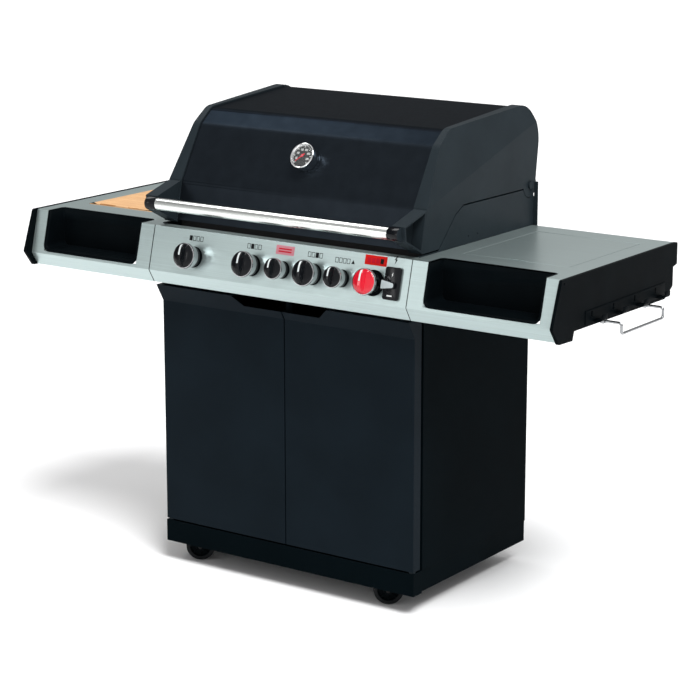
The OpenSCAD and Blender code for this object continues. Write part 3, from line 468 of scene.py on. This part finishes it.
def make_knob(index):
    joint = JOINTS[f"knob_{index}_turn"]
    matrix = frame_of(joint["pos_m"], joint["axis"])
    body = f"knob_{index}"
    big = index in KNOB_BIG
    r = 32.0 if big else 26.0
    slot = "gloss_red" if index == RED_KNOB else "gloss_black"
    lathe(f"knob_{index}_collar", [(5, 8.2), (0.80 * r - 1, 8.2), (0.80 * r, 9.2), (0.815 * r, 17.6),
                                   (0.79 * r, 18.4), (5, 18.4)], matrix, body, "gloss_black")
    lathe(f"knob_{index}_skirt", [(0.79 * r, 17.6), (0.835 * r, 17.4), (0.85 * r, 18.6), (0.97 * r, 34.5),
                                  (r, 37.0), (r, 40.4), (0.985 * r, 41.6), (0.93 * r, 41.9),
                                  (0.92 * r, 39.5)], matrix, body, "skirt", steps=96)
    rc = 0.935 * r
    rings, steps = 44, 128
    verts, faces = [(0, 0, CAP_BASE + knob_height(0, 0, rc))], []
    for i in range(1, rings + 1):
        rr = rc * (i / rings) ** 0.9
        for k in range(steps):
            a = 2 * math.pi * k / steps
            x, y = rr * math.cos(a), rr * math.sin(a)
            flute = 0.9 * max(0.0, rr / rc - 0.86) / 0.14 * (0.5 + 0.5 * math.cos(32 * a))
            verts.append((x, y, CAP_BASE + knob_height(x, y, rc) - flute * (rr < rc * 0.995)))
    for k in range(steps):
        verts.append((rc * math.cos(2 * math.pi * k / steps), rc * math.sin(2 * math.pi * k / steps), 39.0))
    for k in range(steps):
        j = (k + 1) % steps
        faces.append((0, 1 + k, 1 + j))
        for i in range(rings):
            a, b = 1 + i * steps, 1 + (i + 1) * steps
            faces.append((a + k, b + k, b + j, a + j))
    from_data(f"knob_{index}_cap", verts, faces, matrix, body, slot, 60)
    half = 2.3 if big else 2.0
    top, foot = 0.90, 0.02
    cols, rows = 4, 24
    verts, faces = [], []
    for i in range(rows + 1):
        y = rc * (foot + (top - foot) * i / rows)
        for k in range(cols + 1):
            x = half * (2 * k / cols - 1)
            edge = 0.0 if i in (0, rows) or k in (0, cols) else 0.45
            verts.append((x, y, CAP_BASE + knob_height(x, y, rc) + edge))
    for i in range(rows):
        for k in range(cols):
            a = i * (cols + 1) + k
            faces.append((a, a + 1, a + cols + 2, a + cols + 1))
    from_data(f"knob_{index}_pointer", verts, faces, matrix, body, "pointer", 60)
    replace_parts(bpy.data.objects[f"knob_{index}_cap"], f"knob_{index}")


for knob_index in range(1, 7):
    make_knob(knob_index)

# ---------------------------------------------------------------- turbo lever, bezels, igniter block and panel prints

lever_joint = JOINTS["turbo_lever_turn"]
LEVER = frame_of(lever_joint["pos_m"], lever_joint["axis"])
arm_outline = round_outline([(29.8, -12.3), (67.5, -6.8), (67.5, 6.8), (29.8, 12.3)], [2, 6, 6, 2])
lever = prism("turbo_lever_arm", arm_outline, 7.6, 14.2, LEVER, "turbo_lever", "gloss_black", 1.2)
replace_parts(lever, "turbo_lever")
prism("turbo_lever_face", round_outline([(31, -10.2), (65, -5.2), (65, 5.2), (31, 10.2)], [1.5, 5, 5, 1.5]),
      13.6, 15.3, LEVER, "turbo_lever", "lever_grey", 0.5)
lathe("turbo_lever_ring", [(26.1, 0.4), (30.4, 0.4), (30.9, 0.8), (30.9, 2.4), (30.4, 2.8), (26.1, 2.8)],
      LEVER, "turbo_lever", "black_plastic", closed=True)
block("turbo_lever_neck", (29.7, -4.8, 0.6), (31.8, 4.8, 9.5), "turbo_lever", "black_plastic",
      0.4, LEVER)

igniter = prism("igniter_housing", round_outline([(33, -34), (76, -34), (76, 43), (33, 43)], 6), 0, 6.9, LEVER,
                "frame", "gloss_black", 1.4, 4)
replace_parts(igniter, "panel_trim")


def print_patch(name, outline, finish, matrix=LEVER, z=0.0, body="frame", t=0.12):
    return prism(name, outline, z, z + t, matrix, body, finish, 0)


def rect(x0, y0, x1, y1):
    return [(x0, y0), (x1, y0), (x1, y1), (x0, y1)]


BOLT_MARK = [(1.6, 9), (-3.4, 0.4), (-0.4, 0.4), (-2.2, -8), (3.6, 1.8), (0.6, 1.8), (3.8, 9)]
print_patch("igniter_spark_mark", [(54 + 0.62 * x, 24 + 0.62 * y) for x, y in BOLT_MARK], "print_white", z=6.86)
print_patch("igniter_bar_mark", rect(46, -26, 60, -23), "print_white", z=6.86)
print_patch("panel_spark_mark", [(54 + 1.25 * x, 59 + 1.25 * y) for x, y in BOLT_MARK], "print_black", z=-0.02)

PANEL = {i: frame_of(JOINTS[f"knob_{i}_turn"]["pos_m"], JOINTS[f"knob_{i}_turn"]["axis"]) for i in range(1, 7)}
for i in range(1, 7):
    rim = 26.0 if i in KNOB_BIG else 21.2
    lathe(f"knob_{i}_bezel", [(8, 0.2), (rim, 0.2), (rim, 2.8), (rim - 0.3, 3.6), (rim - 1, 4.0), (8, 4.0)], PANEL[i],
          "frame", "black_plastic", closed=True)


def burner_icon(index, filled, y=46.0, x=0.0):
    """Four outlined cells in a row, one of them filled: which burner the knob controls."""
    m = PANEL[index]
    w, h, pitch = 9.2, 12.5, 11.2
    for k in range(4):
        cx = x + (k - 1.5) * pitch
        name = f"icon_{index}_cell_{k}"
        if k == filled:
            print_patch(name, rect(cx - w / 2, y - h / 2, cx + w / 2, y + h / 2), "print_black", m, -0.02)
            continue
        t = 1.35
        left, right, low, high = cx - w / 2, cx + w / 2, y - h / 2, y + h / 2
        bars = [rect(left, low, right, low + t), rect(left, high - t, right, high),
                rect(left, low, left + t, high), rect(right - t, low, right, high)]
        verts, faces = [], []
        for bar in bars:
            n = len(verts)
            verts += [(px, py, 0.1) for px, py in bar]
            faces.append((n, n + 1, n + 2, n + 3))
        from_data(name, verts, faces, m, "frame", "print_black")


burner_icon(1, 0)
burner_icon(2, 1)
burner_icon(4, 2)
burner_icon(5, 4, 42.0, -4.0)
print_patch("icon_5_side_burner", [(21, 37.0), (31, 37.0), (26, 46.5)], "print_black", PANEL[5], -0.02)
print_patch("label_cell_3", round_outline(rect(-27, 36, 27, 58), 1.5), "print_pink", PANEL[3], -0.02, t=0.2)
for row in range(2):
    print_patch(f"label_cell_3_bar_{row}", rect(-19, 42.0 + 6.5 * row, 19, 45.2 + 6.5 * row), "needle_red",
                PANEL[3], 0.12)
print_patch("label_cell_6", round_outline(rect(-32, 41, 30, 64), 1.0), "print_red", PANEL[6], -0.02, t=0.2)
for k in range(4):
    print_patch(f"label_cell_6_cell_{k}", rect(-24 + 12 * k, 46, -15 + 12 * k, 58),
                "print_black" if k == 3 else "needle_red", PANEL[6], 0.12)

# ---------------------------------------------------------------- painted seam shadows and handle sleeves

SEAM_X = 384                    # where the panel meets the shelves
SLEEVE_X, HANDLE_Y, HANDLE_Z = 344, -54, SHELF_Z + 62
UPRIGHT = DESIGN @ Matrix(((0, 0, 1, 0), (1, 0, 0, 0), (0, 1, 0, 0), (0, 0, 0, 1)))
apron = [(-18, SHELF_Z), (-46, SHELF_Z - 109), (-26, SHELF_Z - 142.5)]
for side in (-1, 1):
    name = "left" if side < 0 else "right"
    # a black strip, wider than the 0.5 mm gap, laid over the seam between the panel and each shelf: painted shadow of
    # the gap
    shadow_strip = [(y - 0.5, z) for y, z in apron] + [(y + 1.2, z) for y, z in reversed(apron)]
    prism(f"panel_seam_painted_shadow_{name}", shadow_strip, side * SEAM_X - 0.8, side * SEAM_X + 0.8, UPRIGHT, "frame", "black_plastic",
          0)
    sleeve = side_frame(side * SLEEVE_X, HANDLE_Y, HANDLE_Z, side)
    lathe(f"handle_sleeve_{name}", [(15.1, 0), (16.0, 0.0), (16.35, 0.5), (16.35, 29.6), (15.1, 30)], sleeve, "lid",
          "gloss_black", closed=True)

# ---------------------------------------------------------------- thermometer

needle_joint = JOINTS["needle_turn"]
dial_pos = Vector(needle_joint["pos_m"])
dial_axis = Vector(needle_joint["axis"])
SHEET_RECESS = 4.0
DIAL = frame_of(dial_pos, dial_axis) @ Matrix.Translation((0, 0, -SHEET_RECESS))
DIAL_FACE = 25.0                # height of the dial over the lid's sheet
PRINT_Z = DIAL_FACE + 0.12
bezel_profile = [(27.2, 26.2), (28.6, 27.8), (29.4, 29.4), (30.6, 30.0), (31.8, 29.6), (32.7, 28.4), (33.0, 26.5),
                 (33.0, 9.5), (32.2, 8.3), (30.8, 7.8), (30.4, 6.4), (30.4, 1.2), (12, 0.6)]
gauge = lathe("thermometer_bezel", bezel_profile, DIAL, "lid", "chrome", 96)
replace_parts(gauge, "thermometer")
lathe("thermometer_dial", [(0.0, DIAL_FACE), (28.2, DIAL_FACE), (28.8, DIAL_FACE - 1)], DIAL, "lid", "dial",
      72)
lathe("thermometer_probe", [(0.0, -59.5), (3.0, -58.5), (4.0, -56.0), (4.0, 0.5)], DIAL, "lid", "chrome",
      24)
lathe("thermometer_nut", [(4.0, -5.4), (9.6, -5.4), (10.4, -4.4), (10.4, -2.2), (4.0, -2.2)], DIAL, "lid", "zinc",
      6)
lathe("thermometer_post", [(0.0, 28.1), (1.3, 28.0), (1.6, 27.3), (1.6, DIAL_FACE)], DIAL, "lid", "chrome",
      24)
lathe("thermometer_glass", [(0.0, 28.9), (14.0, 28.75), (27.9, 28.3)], DIAL, "lid", "glass", 64)


def dial_marks():
    """Ticks round 270 degrees, and the arc outside them."""
    verts, faces = [], []

    def bar(a, r0, r1, w):
        c, s = math.cos(a), math.sin(a)
        n = len(verts)
        for r, t in ((r0, -w), (r1, -w), (r1, w), (r0, w)):
            verts.append((r * c - t * s, r * s + t * c, PRINT_Z))
        faces.append((n, n + 1, n + 2, n + 3))

    for k in range(31):
        a = math.radians(225 - 9 * k)
        if k % 5 == 0:
            bar(a, 21.5, 26.5, 0.75)
        else:
            bar(a, 24.2, 26.5, 0.3)
    for k in range(40):
        a0, a1 = math.radians(225 - 270 * k / 40), math.radians(225 - 270 * (k + 1) / 40)
        n = len(verts)
        for a, r in ((a0, 26.8), (a1, 26.8), (a1, 27.3), (a0, 27.3)):
            verts.append((r * math.cos(a), r * math.sin(a), PRINT_Z))
        faces.append((n, n + 1, n + 2, n + 3))
    return verts, faces


marks = dial_marks()
from_data("thermometer_marks", marks[0], marks[1], DIAL, "lid", "print_white")

SEGMENTS = {0: "abcdef", 1: "bc", 2: "abged", 3: "abgcd", 4: "fgbc", 5: "afgcd"}


def numeral(value, cx, cy, h, matrix, name, body, z):
    """A number on the dial in plain strokes."""
    strokes = {"a": ((-1, 2), (1, 2)), "b": ((1, 2), (1, 0)), "c": ((1, 0), (1, -2)), "d": ((-1, -2), (1, -2)),
               "e": ((-1, 0), (-1, -2)), "f": ((-1, 2), (-1, 0)), "g": ((-1, 0), (1, 0))}
    digits = [int(d) for d in str(value)]
    verts, faces = [], []
    pitch = 0.72 * h
    for i, d in enumerate(digits):
        ox = cx + (i - (len(digits) - 1) / 2) * pitch
        for s in SEGMENTS[d]:
            (x0, y0), (x1, y1) = strokes[s]
            p, q = Vector((x0 * h / 5, y0 * h / 4)), Vector((x1 * h / 5, y1 * h / 4))
            t = (q - p).normalized() * 0.09 * h
            w = Vector((-t.y, t.x))
            n = len(verts)
            for c in (p - t - w, q + t - w, q + t + w, p - t + w):
                verts.append((ox + c.x, cy + c.y, z))
            faces.append((n, n + 1, n + 2, n + 3))
    from_data(name, verts, faces, matrix, body, "print_white")


for k, value in enumerate((50, 100, 150, 200, 250, 300)):
    a = math.radians(225 - 45 * k - 22.5)
    numeral(value, 17.2 * math.cos(a), 17.2 * math.sin(a), 4.2, DIAL, f"thermometer_number_{value}", "lid", PRINT_Z)

# ---------------------------------------------------------------- cutting board

board_low, board_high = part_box("cutting_board")
board_low, board_high = Vector(board_low) * 1000, Vector(board_high) * 1000
BOARD = Matrix.Scale(0.001, 4)


def cutting_board():
    """A slab with rounded edges and two finger slots."""
    mesh = bmesh.new()
    x0, x1, y0, y1 = board_low.x, board_high.x, board_low.y, board_high.y
    slots = []
    for u0, u1 in ((564, 599), (642, 698)):
        cx = (ORIGIN.x * 1000 - u1, ORIGIN.x * 1000 - u0)
        slots.append((cx[0], cx[1], y0 + 7, y0 + 19))
    xs = sorted({x0, x1, *[v for s in slots for v in s[:2]]})
    ys = sorted({y0, y1, slots[0][2], slots[0][3]})
    top, low = board_high.z, board_low.z
    grid = {}
    for i, x in enumerate(xs):
        for j, y in enumerate(ys):
            grid[i, j] = (mesh.verts.new((x, y, top)), mesh.verts.new((x, y, low)))
    holes = set()
    for s in slots:
        i = xs.index(s[0])
        holes.add((i, ys.index(s[2])))
    for i in range(len(xs) - 1):
        for j in range(len(ys) - 1):
            if (i, j) in holes:
                continue
            corners = [grid[i, j], grid[i + 1, j], grid[i + 1, j + 1], grid[i, j + 1]]
            mesh.faces.new([c[0] for c in corners])
            mesh.faces.new([c[1] for c in corners][::-1])
    boundary = [e for e in mesh.edges if len(e.link_faces) == 1 and abs(e.verts[0].co.z - top) < 1e-6]
    pairs = {v[0]: v[1] for v in grid.values()}
    for e in boundary:
        a, b = e.verts
        mesh.faces.new((a, b, pairs[b], pairs[a]))
    bmesh.ops.recalc_face_normals(mesh, faces=mesh.faces)
    upright = [e for e in mesh.edges if abs(e.verts[0].co.z - e.verts[1].co.z) > 1]
    bmesh.ops.bevel(mesh, geom=upright, offset=5.5, segments=5, profile=0.5, affect="EDGES")
    rims = [e for e in mesh.edges if e.calc_face_angle(0) > math.radians(60)]
    bmesh.ops.bevel(mesh, geom=rims, offset=1.2, segments=3, profile=0.5, affect="EDGES")
    mesh.transform(BOARD)
    data = bpy.data.meshes.new("board")
    mesh.to_mesh(data)
    mesh.free()
    return finish_object(bpy.data.objects.new("board", data), "board", "wood")


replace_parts(cutting_board(), "cutting_board")

# ---------------------------------------------------------------- storage trays in the shelves

TRAY_BACK, TRAY_FLOOR = 38.0, SHELF_Z - 101


def storage_tray(side):
    """A moulded bin with rounded corners whose front and top are open, with a lip over the sheet's edge."""
    body, name = "frame", "left" if side < 0 else "right"
    x0, x1 = 429.0, 738.0
    wall = 3.0

    def across(y):
        return -18 - (SHELF_Z - y) * 28 / 109

    matrix = DESIGN @ (Matrix.Scale(-1, 4, (1, 0, 0)) if side < 0 else Matrix.Identity(4))
    steps = 6
    # sections from the front opening to the back wall, each a U of the same floor and side lines
    section = []
    r = 14.0
    zb = TRAY_FLOOR + wall
    for k in range(steps + 1):
        a = math.pi + (math.pi / 2) * k / steps
        section.append((x0 + wall + r + r * math.cos(a), zb + r + r * math.sin(a)))
    for k in range(steps + 1):
        a = 1.5 * math.pi + (math.pi / 2) * k / steps
        section.append((x1 - wall - r + r * math.cos(a), zb + r + r * math.sin(a)))
    section = [(x0 + wall, SHELF_Z + 0.4)] + [(x0 + wall, SHELF_Z - 30), (x0 + wall, SHELF_Z - 60)] + section + [
        (x1 - wall, SHELF_Z - 60), (x1 - wall, SHELF_Z - 30), (x1 - wall, SHELF_Z + 0.4)]
    n = len(section)
    verts, faces = [], []
    back = TRAY_BACK - wall
    depths = 8
    for i in range(depths + 1):
        t = i / depths
        for x, z in section:
            front = across(z) + 0.6
            y = front + (back - front) * t
            verts.append((x, y, z))
    for i in range(depths):
        for k in range(n - 1):
            a, b = i * n + k, (i + 1) * n + k
            faces.append((a, a + 1, b + 1, b))
    # back wall
    faces.append(tuple(depths * n + k for k in range(n)))
    tray = from_data(f"tray_bin_{name}", verts, faces, matrix, body, "black_plastic", 40)
    solid = tray.modifiers.new("wall", "SOLIDIFY")
    solid.thickness, solid.offset = 0.0018, -1
    # lip that frames the opening on the front
    lip_verts, lip_faces = [], []
    outer = 4.5
    for k, (x, z) in enumerate(section):
        if k == 0 or k == n - 1:
            nx, nz = (-1 if k == 0 else 1), 0
        else:
            dx, dz = section[k + 1][0] - section[k - 1][0], section[k + 1][1] - section[k - 1][1]
            length = math.hypot(dx, dz)
            nx, nz = dz / length, -dx / length
        for off, out in ((0.0, 0.6), (0.0, -1.4), (1.2, -2.0), (outer - 1.0, -1.8), (outer, -0.4)):
            px, pz = x + nx * off, z + nz * off
            lip_verts.append((px, across(pz) + out, pz))
    m = 5
    for k in range(n - 1):
        for q in range(m - 1):
            a = k * m + q
            lip_faces.append((a, a + 1, a + 1 + m, a + m))
    from_data(f"tray_lip_{name}", lip_verts, lip_faces, matrix, body, "black_plastic", 60)
    # lip on the shelf's top
    top = SHELF_Z
    prof = [(0.0, -2.0), (0.0, 1.1), (2.6, 1.15), (3.6, 0.9), (4.0, 0.0)]
    path = [((x0 + wall, across(top) - 1.0), (-1, 0)), ((x0 + wall, back - 4), (-1, 0)),
            ((x0 + wall + 4, back), (0, 1)), ((x1 - wall - 4, back), (0, 1)),
            ((x1 - wall, back - 4), (1, 0)), ((x1 - wall, across(top) - 1.0), (1, 0))]
    lip_verts, lip_faces = [], []
    for (px, py), (nx, ny) in path:
        for off, z in prof:
            lip_verts.append((px + nx * off, py + ny * off, top + z))
    m = len(prof)
    for k in range(len(path) - 1):
        for q in range(m - 1):
            a = k * m + q
            lip_faces.append((a, a + 1, a + 1 + m, a + m))
    from_data(f"tray_rim_{name}", lip_verts, lip_faces, matrix, body, "black_plastic", 60)
    if side < 0:
        for k in range(4):
            y = -32 + 15 * k
            rib = [(x0 + 12, y), (x1 - 12, y), (x1 - 12, y + 3), (x0 + 12, y + 3)]
            prism(f"tray_rib_{k}", round_outline(rib, 1.4), zb - 0.5, zb + 2.6, matrix, body, "black_plastic",
                  0.6)
    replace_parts(tray, f"tray_{name}")


storage_tray(1)
storage_tray(-1)

# ---------------------------------------------------------------- hooks

HOOK_YS = (104, 205, 307, 409)
HOOK_X, HOOK_Z = 786.0, SHELF_Z - 98


def hook_rail():
    """The strip on the right cap, with a tongue bent out under each slot."""
    x = HOOK_X
    plate = block("hook_plate", (x - 0.4, 76, SHELF_Z - 120), (x + 1.8, 458, SHELF_Z - 87), "frame", "black_plastic",
                  0.6)
    cut = plate.modifiers.new("slots", "BOOLEAN")
    tool_mesh = bmesh.new()
    for y in HOOK_YS:
        made = bmesh.ops.create_cube(tool_mesh, size=1.0)
        bmesh.ops.scale(tool_mesh, vec=(0.03, 0.006, 0.014), verts=made["verts"])
        bmesh.ops.translate(tool_mesh, vec=at(x, y, HOOK_Z), verts=made["verts"])
    data = bpy.data.meshes.new("slot_tool")
    tool_mesh.to_mesh(data)
    tool_mesh.free()
    tool = bpy.data.objects.new("slot_tool", data)
    bpy.context.scene.collection.objects.link(tool)
    cut.object, cut.operation, cut.solver = tool, "DIFFERENCE", "EXACT"
    depsgraph = bpy.context.evaluated_depsgraph_get()
    plate_mesh = bpy.data.meshes.new_from_object(plate.evaluated_get(depsgraph))
    plate.modifiers.clear()
    plate.data = plate_mesh
    bpy.data.objects.remove(tool)
    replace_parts(plate, "hook_rail")
    for k, y in enumerate(HOOK_YS):
        profile = [(1.0, -20.0), (13.0, -20.0), (19.0, -18.5), (22.5, -14.5), (23.6, -8.0), (23.6, -2.6)]
        verts, faces = [], []
        for i, (dx, dz) in enumerate(profile):
            for w, yy in enumerate((y + 8, y + 38)):
                narrow = 3.0 if i >= 4 else 0.0
                yy += narrow if w == 0 else -narrow
                verts.append((x + dx, yy, HOOK_Z + dz))
        for i in range(len(profile) - 1):
            a = 2 * i
            faces.append((a, a + 1, a + 3, a + 2))
        hook = from_data(f"hook_{k + 1}", verts, faces, DESIGN, "frame", "black_plastic", 60)
        wall = hook.modifiers.new("gauge", "SOLIDIFY")
        wall.thickness, wall.offset = 0.0022, -1
        soft = hook.modifiers.new("soft_edges", "BEVEL")
        soft.width, soft.segments = 0.0006, 2


hook_rail()

# ---------------------------------------------------------------- casters

SIDE_NAME = {-1: "in", 1: "out"}
SPOKE = [(12, -1.4), (26, -1.8), (26, 1.8), (12, 1.4)]
HUB_HALF = [(4.3, 11.8), (10.5, 11.6), (12.0, 10.8), (13.2, 7.6), (24.0, 6.6), (26.4, 10.2), (27.6, 11.2)]
HUB = [(r, -z) for r, z in HUB_HALF] + HUB_HALF[::-1]

for which in ("front_left", "front_right", "rear_left", "rear_right"):
    roll = JOINTS[f"caster_roll_{which}"]
    axle = frame_of(roll["pos_m"], roll["axis"], (0, 0, 1))
    fork_body, wheel_body = f"caster_fork_{which}", f"caster_wheel_{which}"
    tread = lathe(f"wheel_tread_{which}", [(27.2, -11.4), (30.0, -12.0), (34.0, -11.6), (36.6, -9.0), (37.4, -4.0),
                                          (37.5, 0.0), (37.4, 4.0), (36.6, 9.0), (34.0, 11.6), (30.0, 12.0),
                                          (27.2, 11.4)], axle, wheel_body, "rubber", 72)
    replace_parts(tread, f"caster_wheel_{which}")
    lathe(f"wheel_hub_{which}", HUB, axle, wheel_body, "black_plastic", 60, closed=True)
    for side in (-1, 1):
        for k in range(8):
            m = axle @ Matrix.Rotation(math.radians(45 * k), 4, "Z")
            z0, z1 = sorted((side * 6.0, side * 10.4))
            prism(f"wheel_spoke_{which}_{SIDE_NAME[side]}_{k}", SPOKE, z0, z1, m, wheel_body, "black_plastic",
                  0.5)
    fork = NODES[f"caster_fork_{which}"]
    fork.data.materials.clear()
    fork.data.materials.append(MATERIALS["black_plastic"])
    weld = fork.modifiers.new("weld", "WELD")
    weld.merge_threshold = 0.00002
    soft = fork.modifiers.new("soft_edges", "BEVEL")
    soft.width, soft.segments, soft.limit_method = 0.001, 2, "ANGLE"
    soft.harden_normals = True
    for side in (-1, 1):
        end = axle @ Matrix.Translation((0, 0, side * 16.5))
        if side < 0:
            end = end @ Matrix.Rotation(math.pi, 4, "X")
        screw(f"axle_nut_{which}_{SIDE_NAME[side]}", end, fork_body, 5.5, "cast_iron")

# ---------------------------------------------------------------- floor and light

floor_mesh = bmesh.new()
bmesh.ops.create_grid(floor_mesh, x_segments=8, y_segments=8, size=60)
floor_data = bpy.data.meshes.new("studio_floor")
floor_mesh.to_mesh(floor_data)
floor_mesh.free()
floor = bpy.data.objects.new("studio_floor", floor_data)
bpy.context.scene.collection.objects.link(floor)
floor.location.z = -0.0005
floor_look = Shader("studio_floor", (0.96, 0.96, 0.965), 0.9, Specular_IOR_Level=0.1)
floor_look.bump(floor_look.noise(2, 2), 0.0005, 0.05)
floor_data.materials.append(floor_look.material)

world = bpy.data.worlds.new("studio")
bpy.context.scene.world = world
world.use_nodes = True
sky = world.node_tree.nodes["Background"]
sky.inputs["Strength"].default_value = 0.85
sky_where = world.node_tree.nodes.new("ShaderNodeTexCoord")
sky_axes = world.node_tree.nodes.new("ShaderNodeSeparateXYZ")
world.node_tree.links.new(sky_where.outputs["Generated"], sky_axes.inputs["Vector"])


def sky_band(axis, low, high, shade_low, shade_high):
    """A smooth change of the studio's brightness along one direction."""
    node = world.node_tree.nodes.new("ShaderNodeMapRange")
    node.interpolation_type = "SMOOTHSTEP"
    world.node_tree.links.new(sky_axes.outputs[axis], node.inputs["Value"])
    for key, value in (("From Min", low), ("From Max", high), ("To Min", shade_low), ("To Max", shade_high)):
        node.inputs[key].default_value = value
    return node.outputs["Result"]


def sky_math(operation, a, b):
    node = world.node_tree.nodes.new("ShaderNodeMath")
    node.operation = operation
    world.node_tree.links.new(a, node.inputs[0])
    world.node_tree.links.new(b, node.inputs[1])
    return node.outputs[0]


# darker near the horizon behind the grill and on the far left, brighter overhead and in front
ground_band = sky_band("Y", -0.5, 0.4, 0.95, 0.50)
over_band = sky_band("Z", 0.25, 0.75, 0.0, 1.0)
sky_high = sky_math("MULTIPLY", over_band, sky_band("Z", 0.5, 1.0, 0.55, 0.85))
sky_low = sky_math("MULTIPLY", ground_band, sky_band("Z", 0.25, 0.75, 1.0, 0.0))
sky_all = sky_math("MULTIPLY", sky_math("ADD", sky_high, sky_low), sky_band("X", -0.74, -0.56, 0.10, 0.98))
world.node_tree.links.new(sky_all, sky.inputs["Color"])


def area_light(name, position, target, size, power, color=(1, 1, 1)):
    data = bpy.data.lights.new(name, "AREA")
    data.shape, data.size, data.size_y = "RECTANGLE", size[0], size[1]
    data.energy, data.color = power, color
    light = bpy.data.objects.new(name, data)
    bpy.context.scene.collection.objects.link(light)
    light.location = position
    light.rotation_euler = (Vector(target) - Vector(position)).to_track_quat("-Z", "Y").to_euler()
    return light


sun_data = bpy.data.lights.new("key", "SUN")
sun_data.energy, sun_data.angle = 3.0, math.radians(24)
sun = bpy.data.objects.new("key", sun_data)
bpy.context.scene.collection.objects.link(sun)
sun.rotation_euler = Vector((0.456, -0.27, 0.848)).to_track_quat("Z", "Y").to_euler()
area_light("brow", (-2.2, 0.35, 4.0), (-0.1, -0.1, 1.1), (2.4, 0.9), 34)
area_light("streak", (-2.7, -4.7, 1.9), (0.1, -0.2, 0.8), (0.5, 1.6), 9)
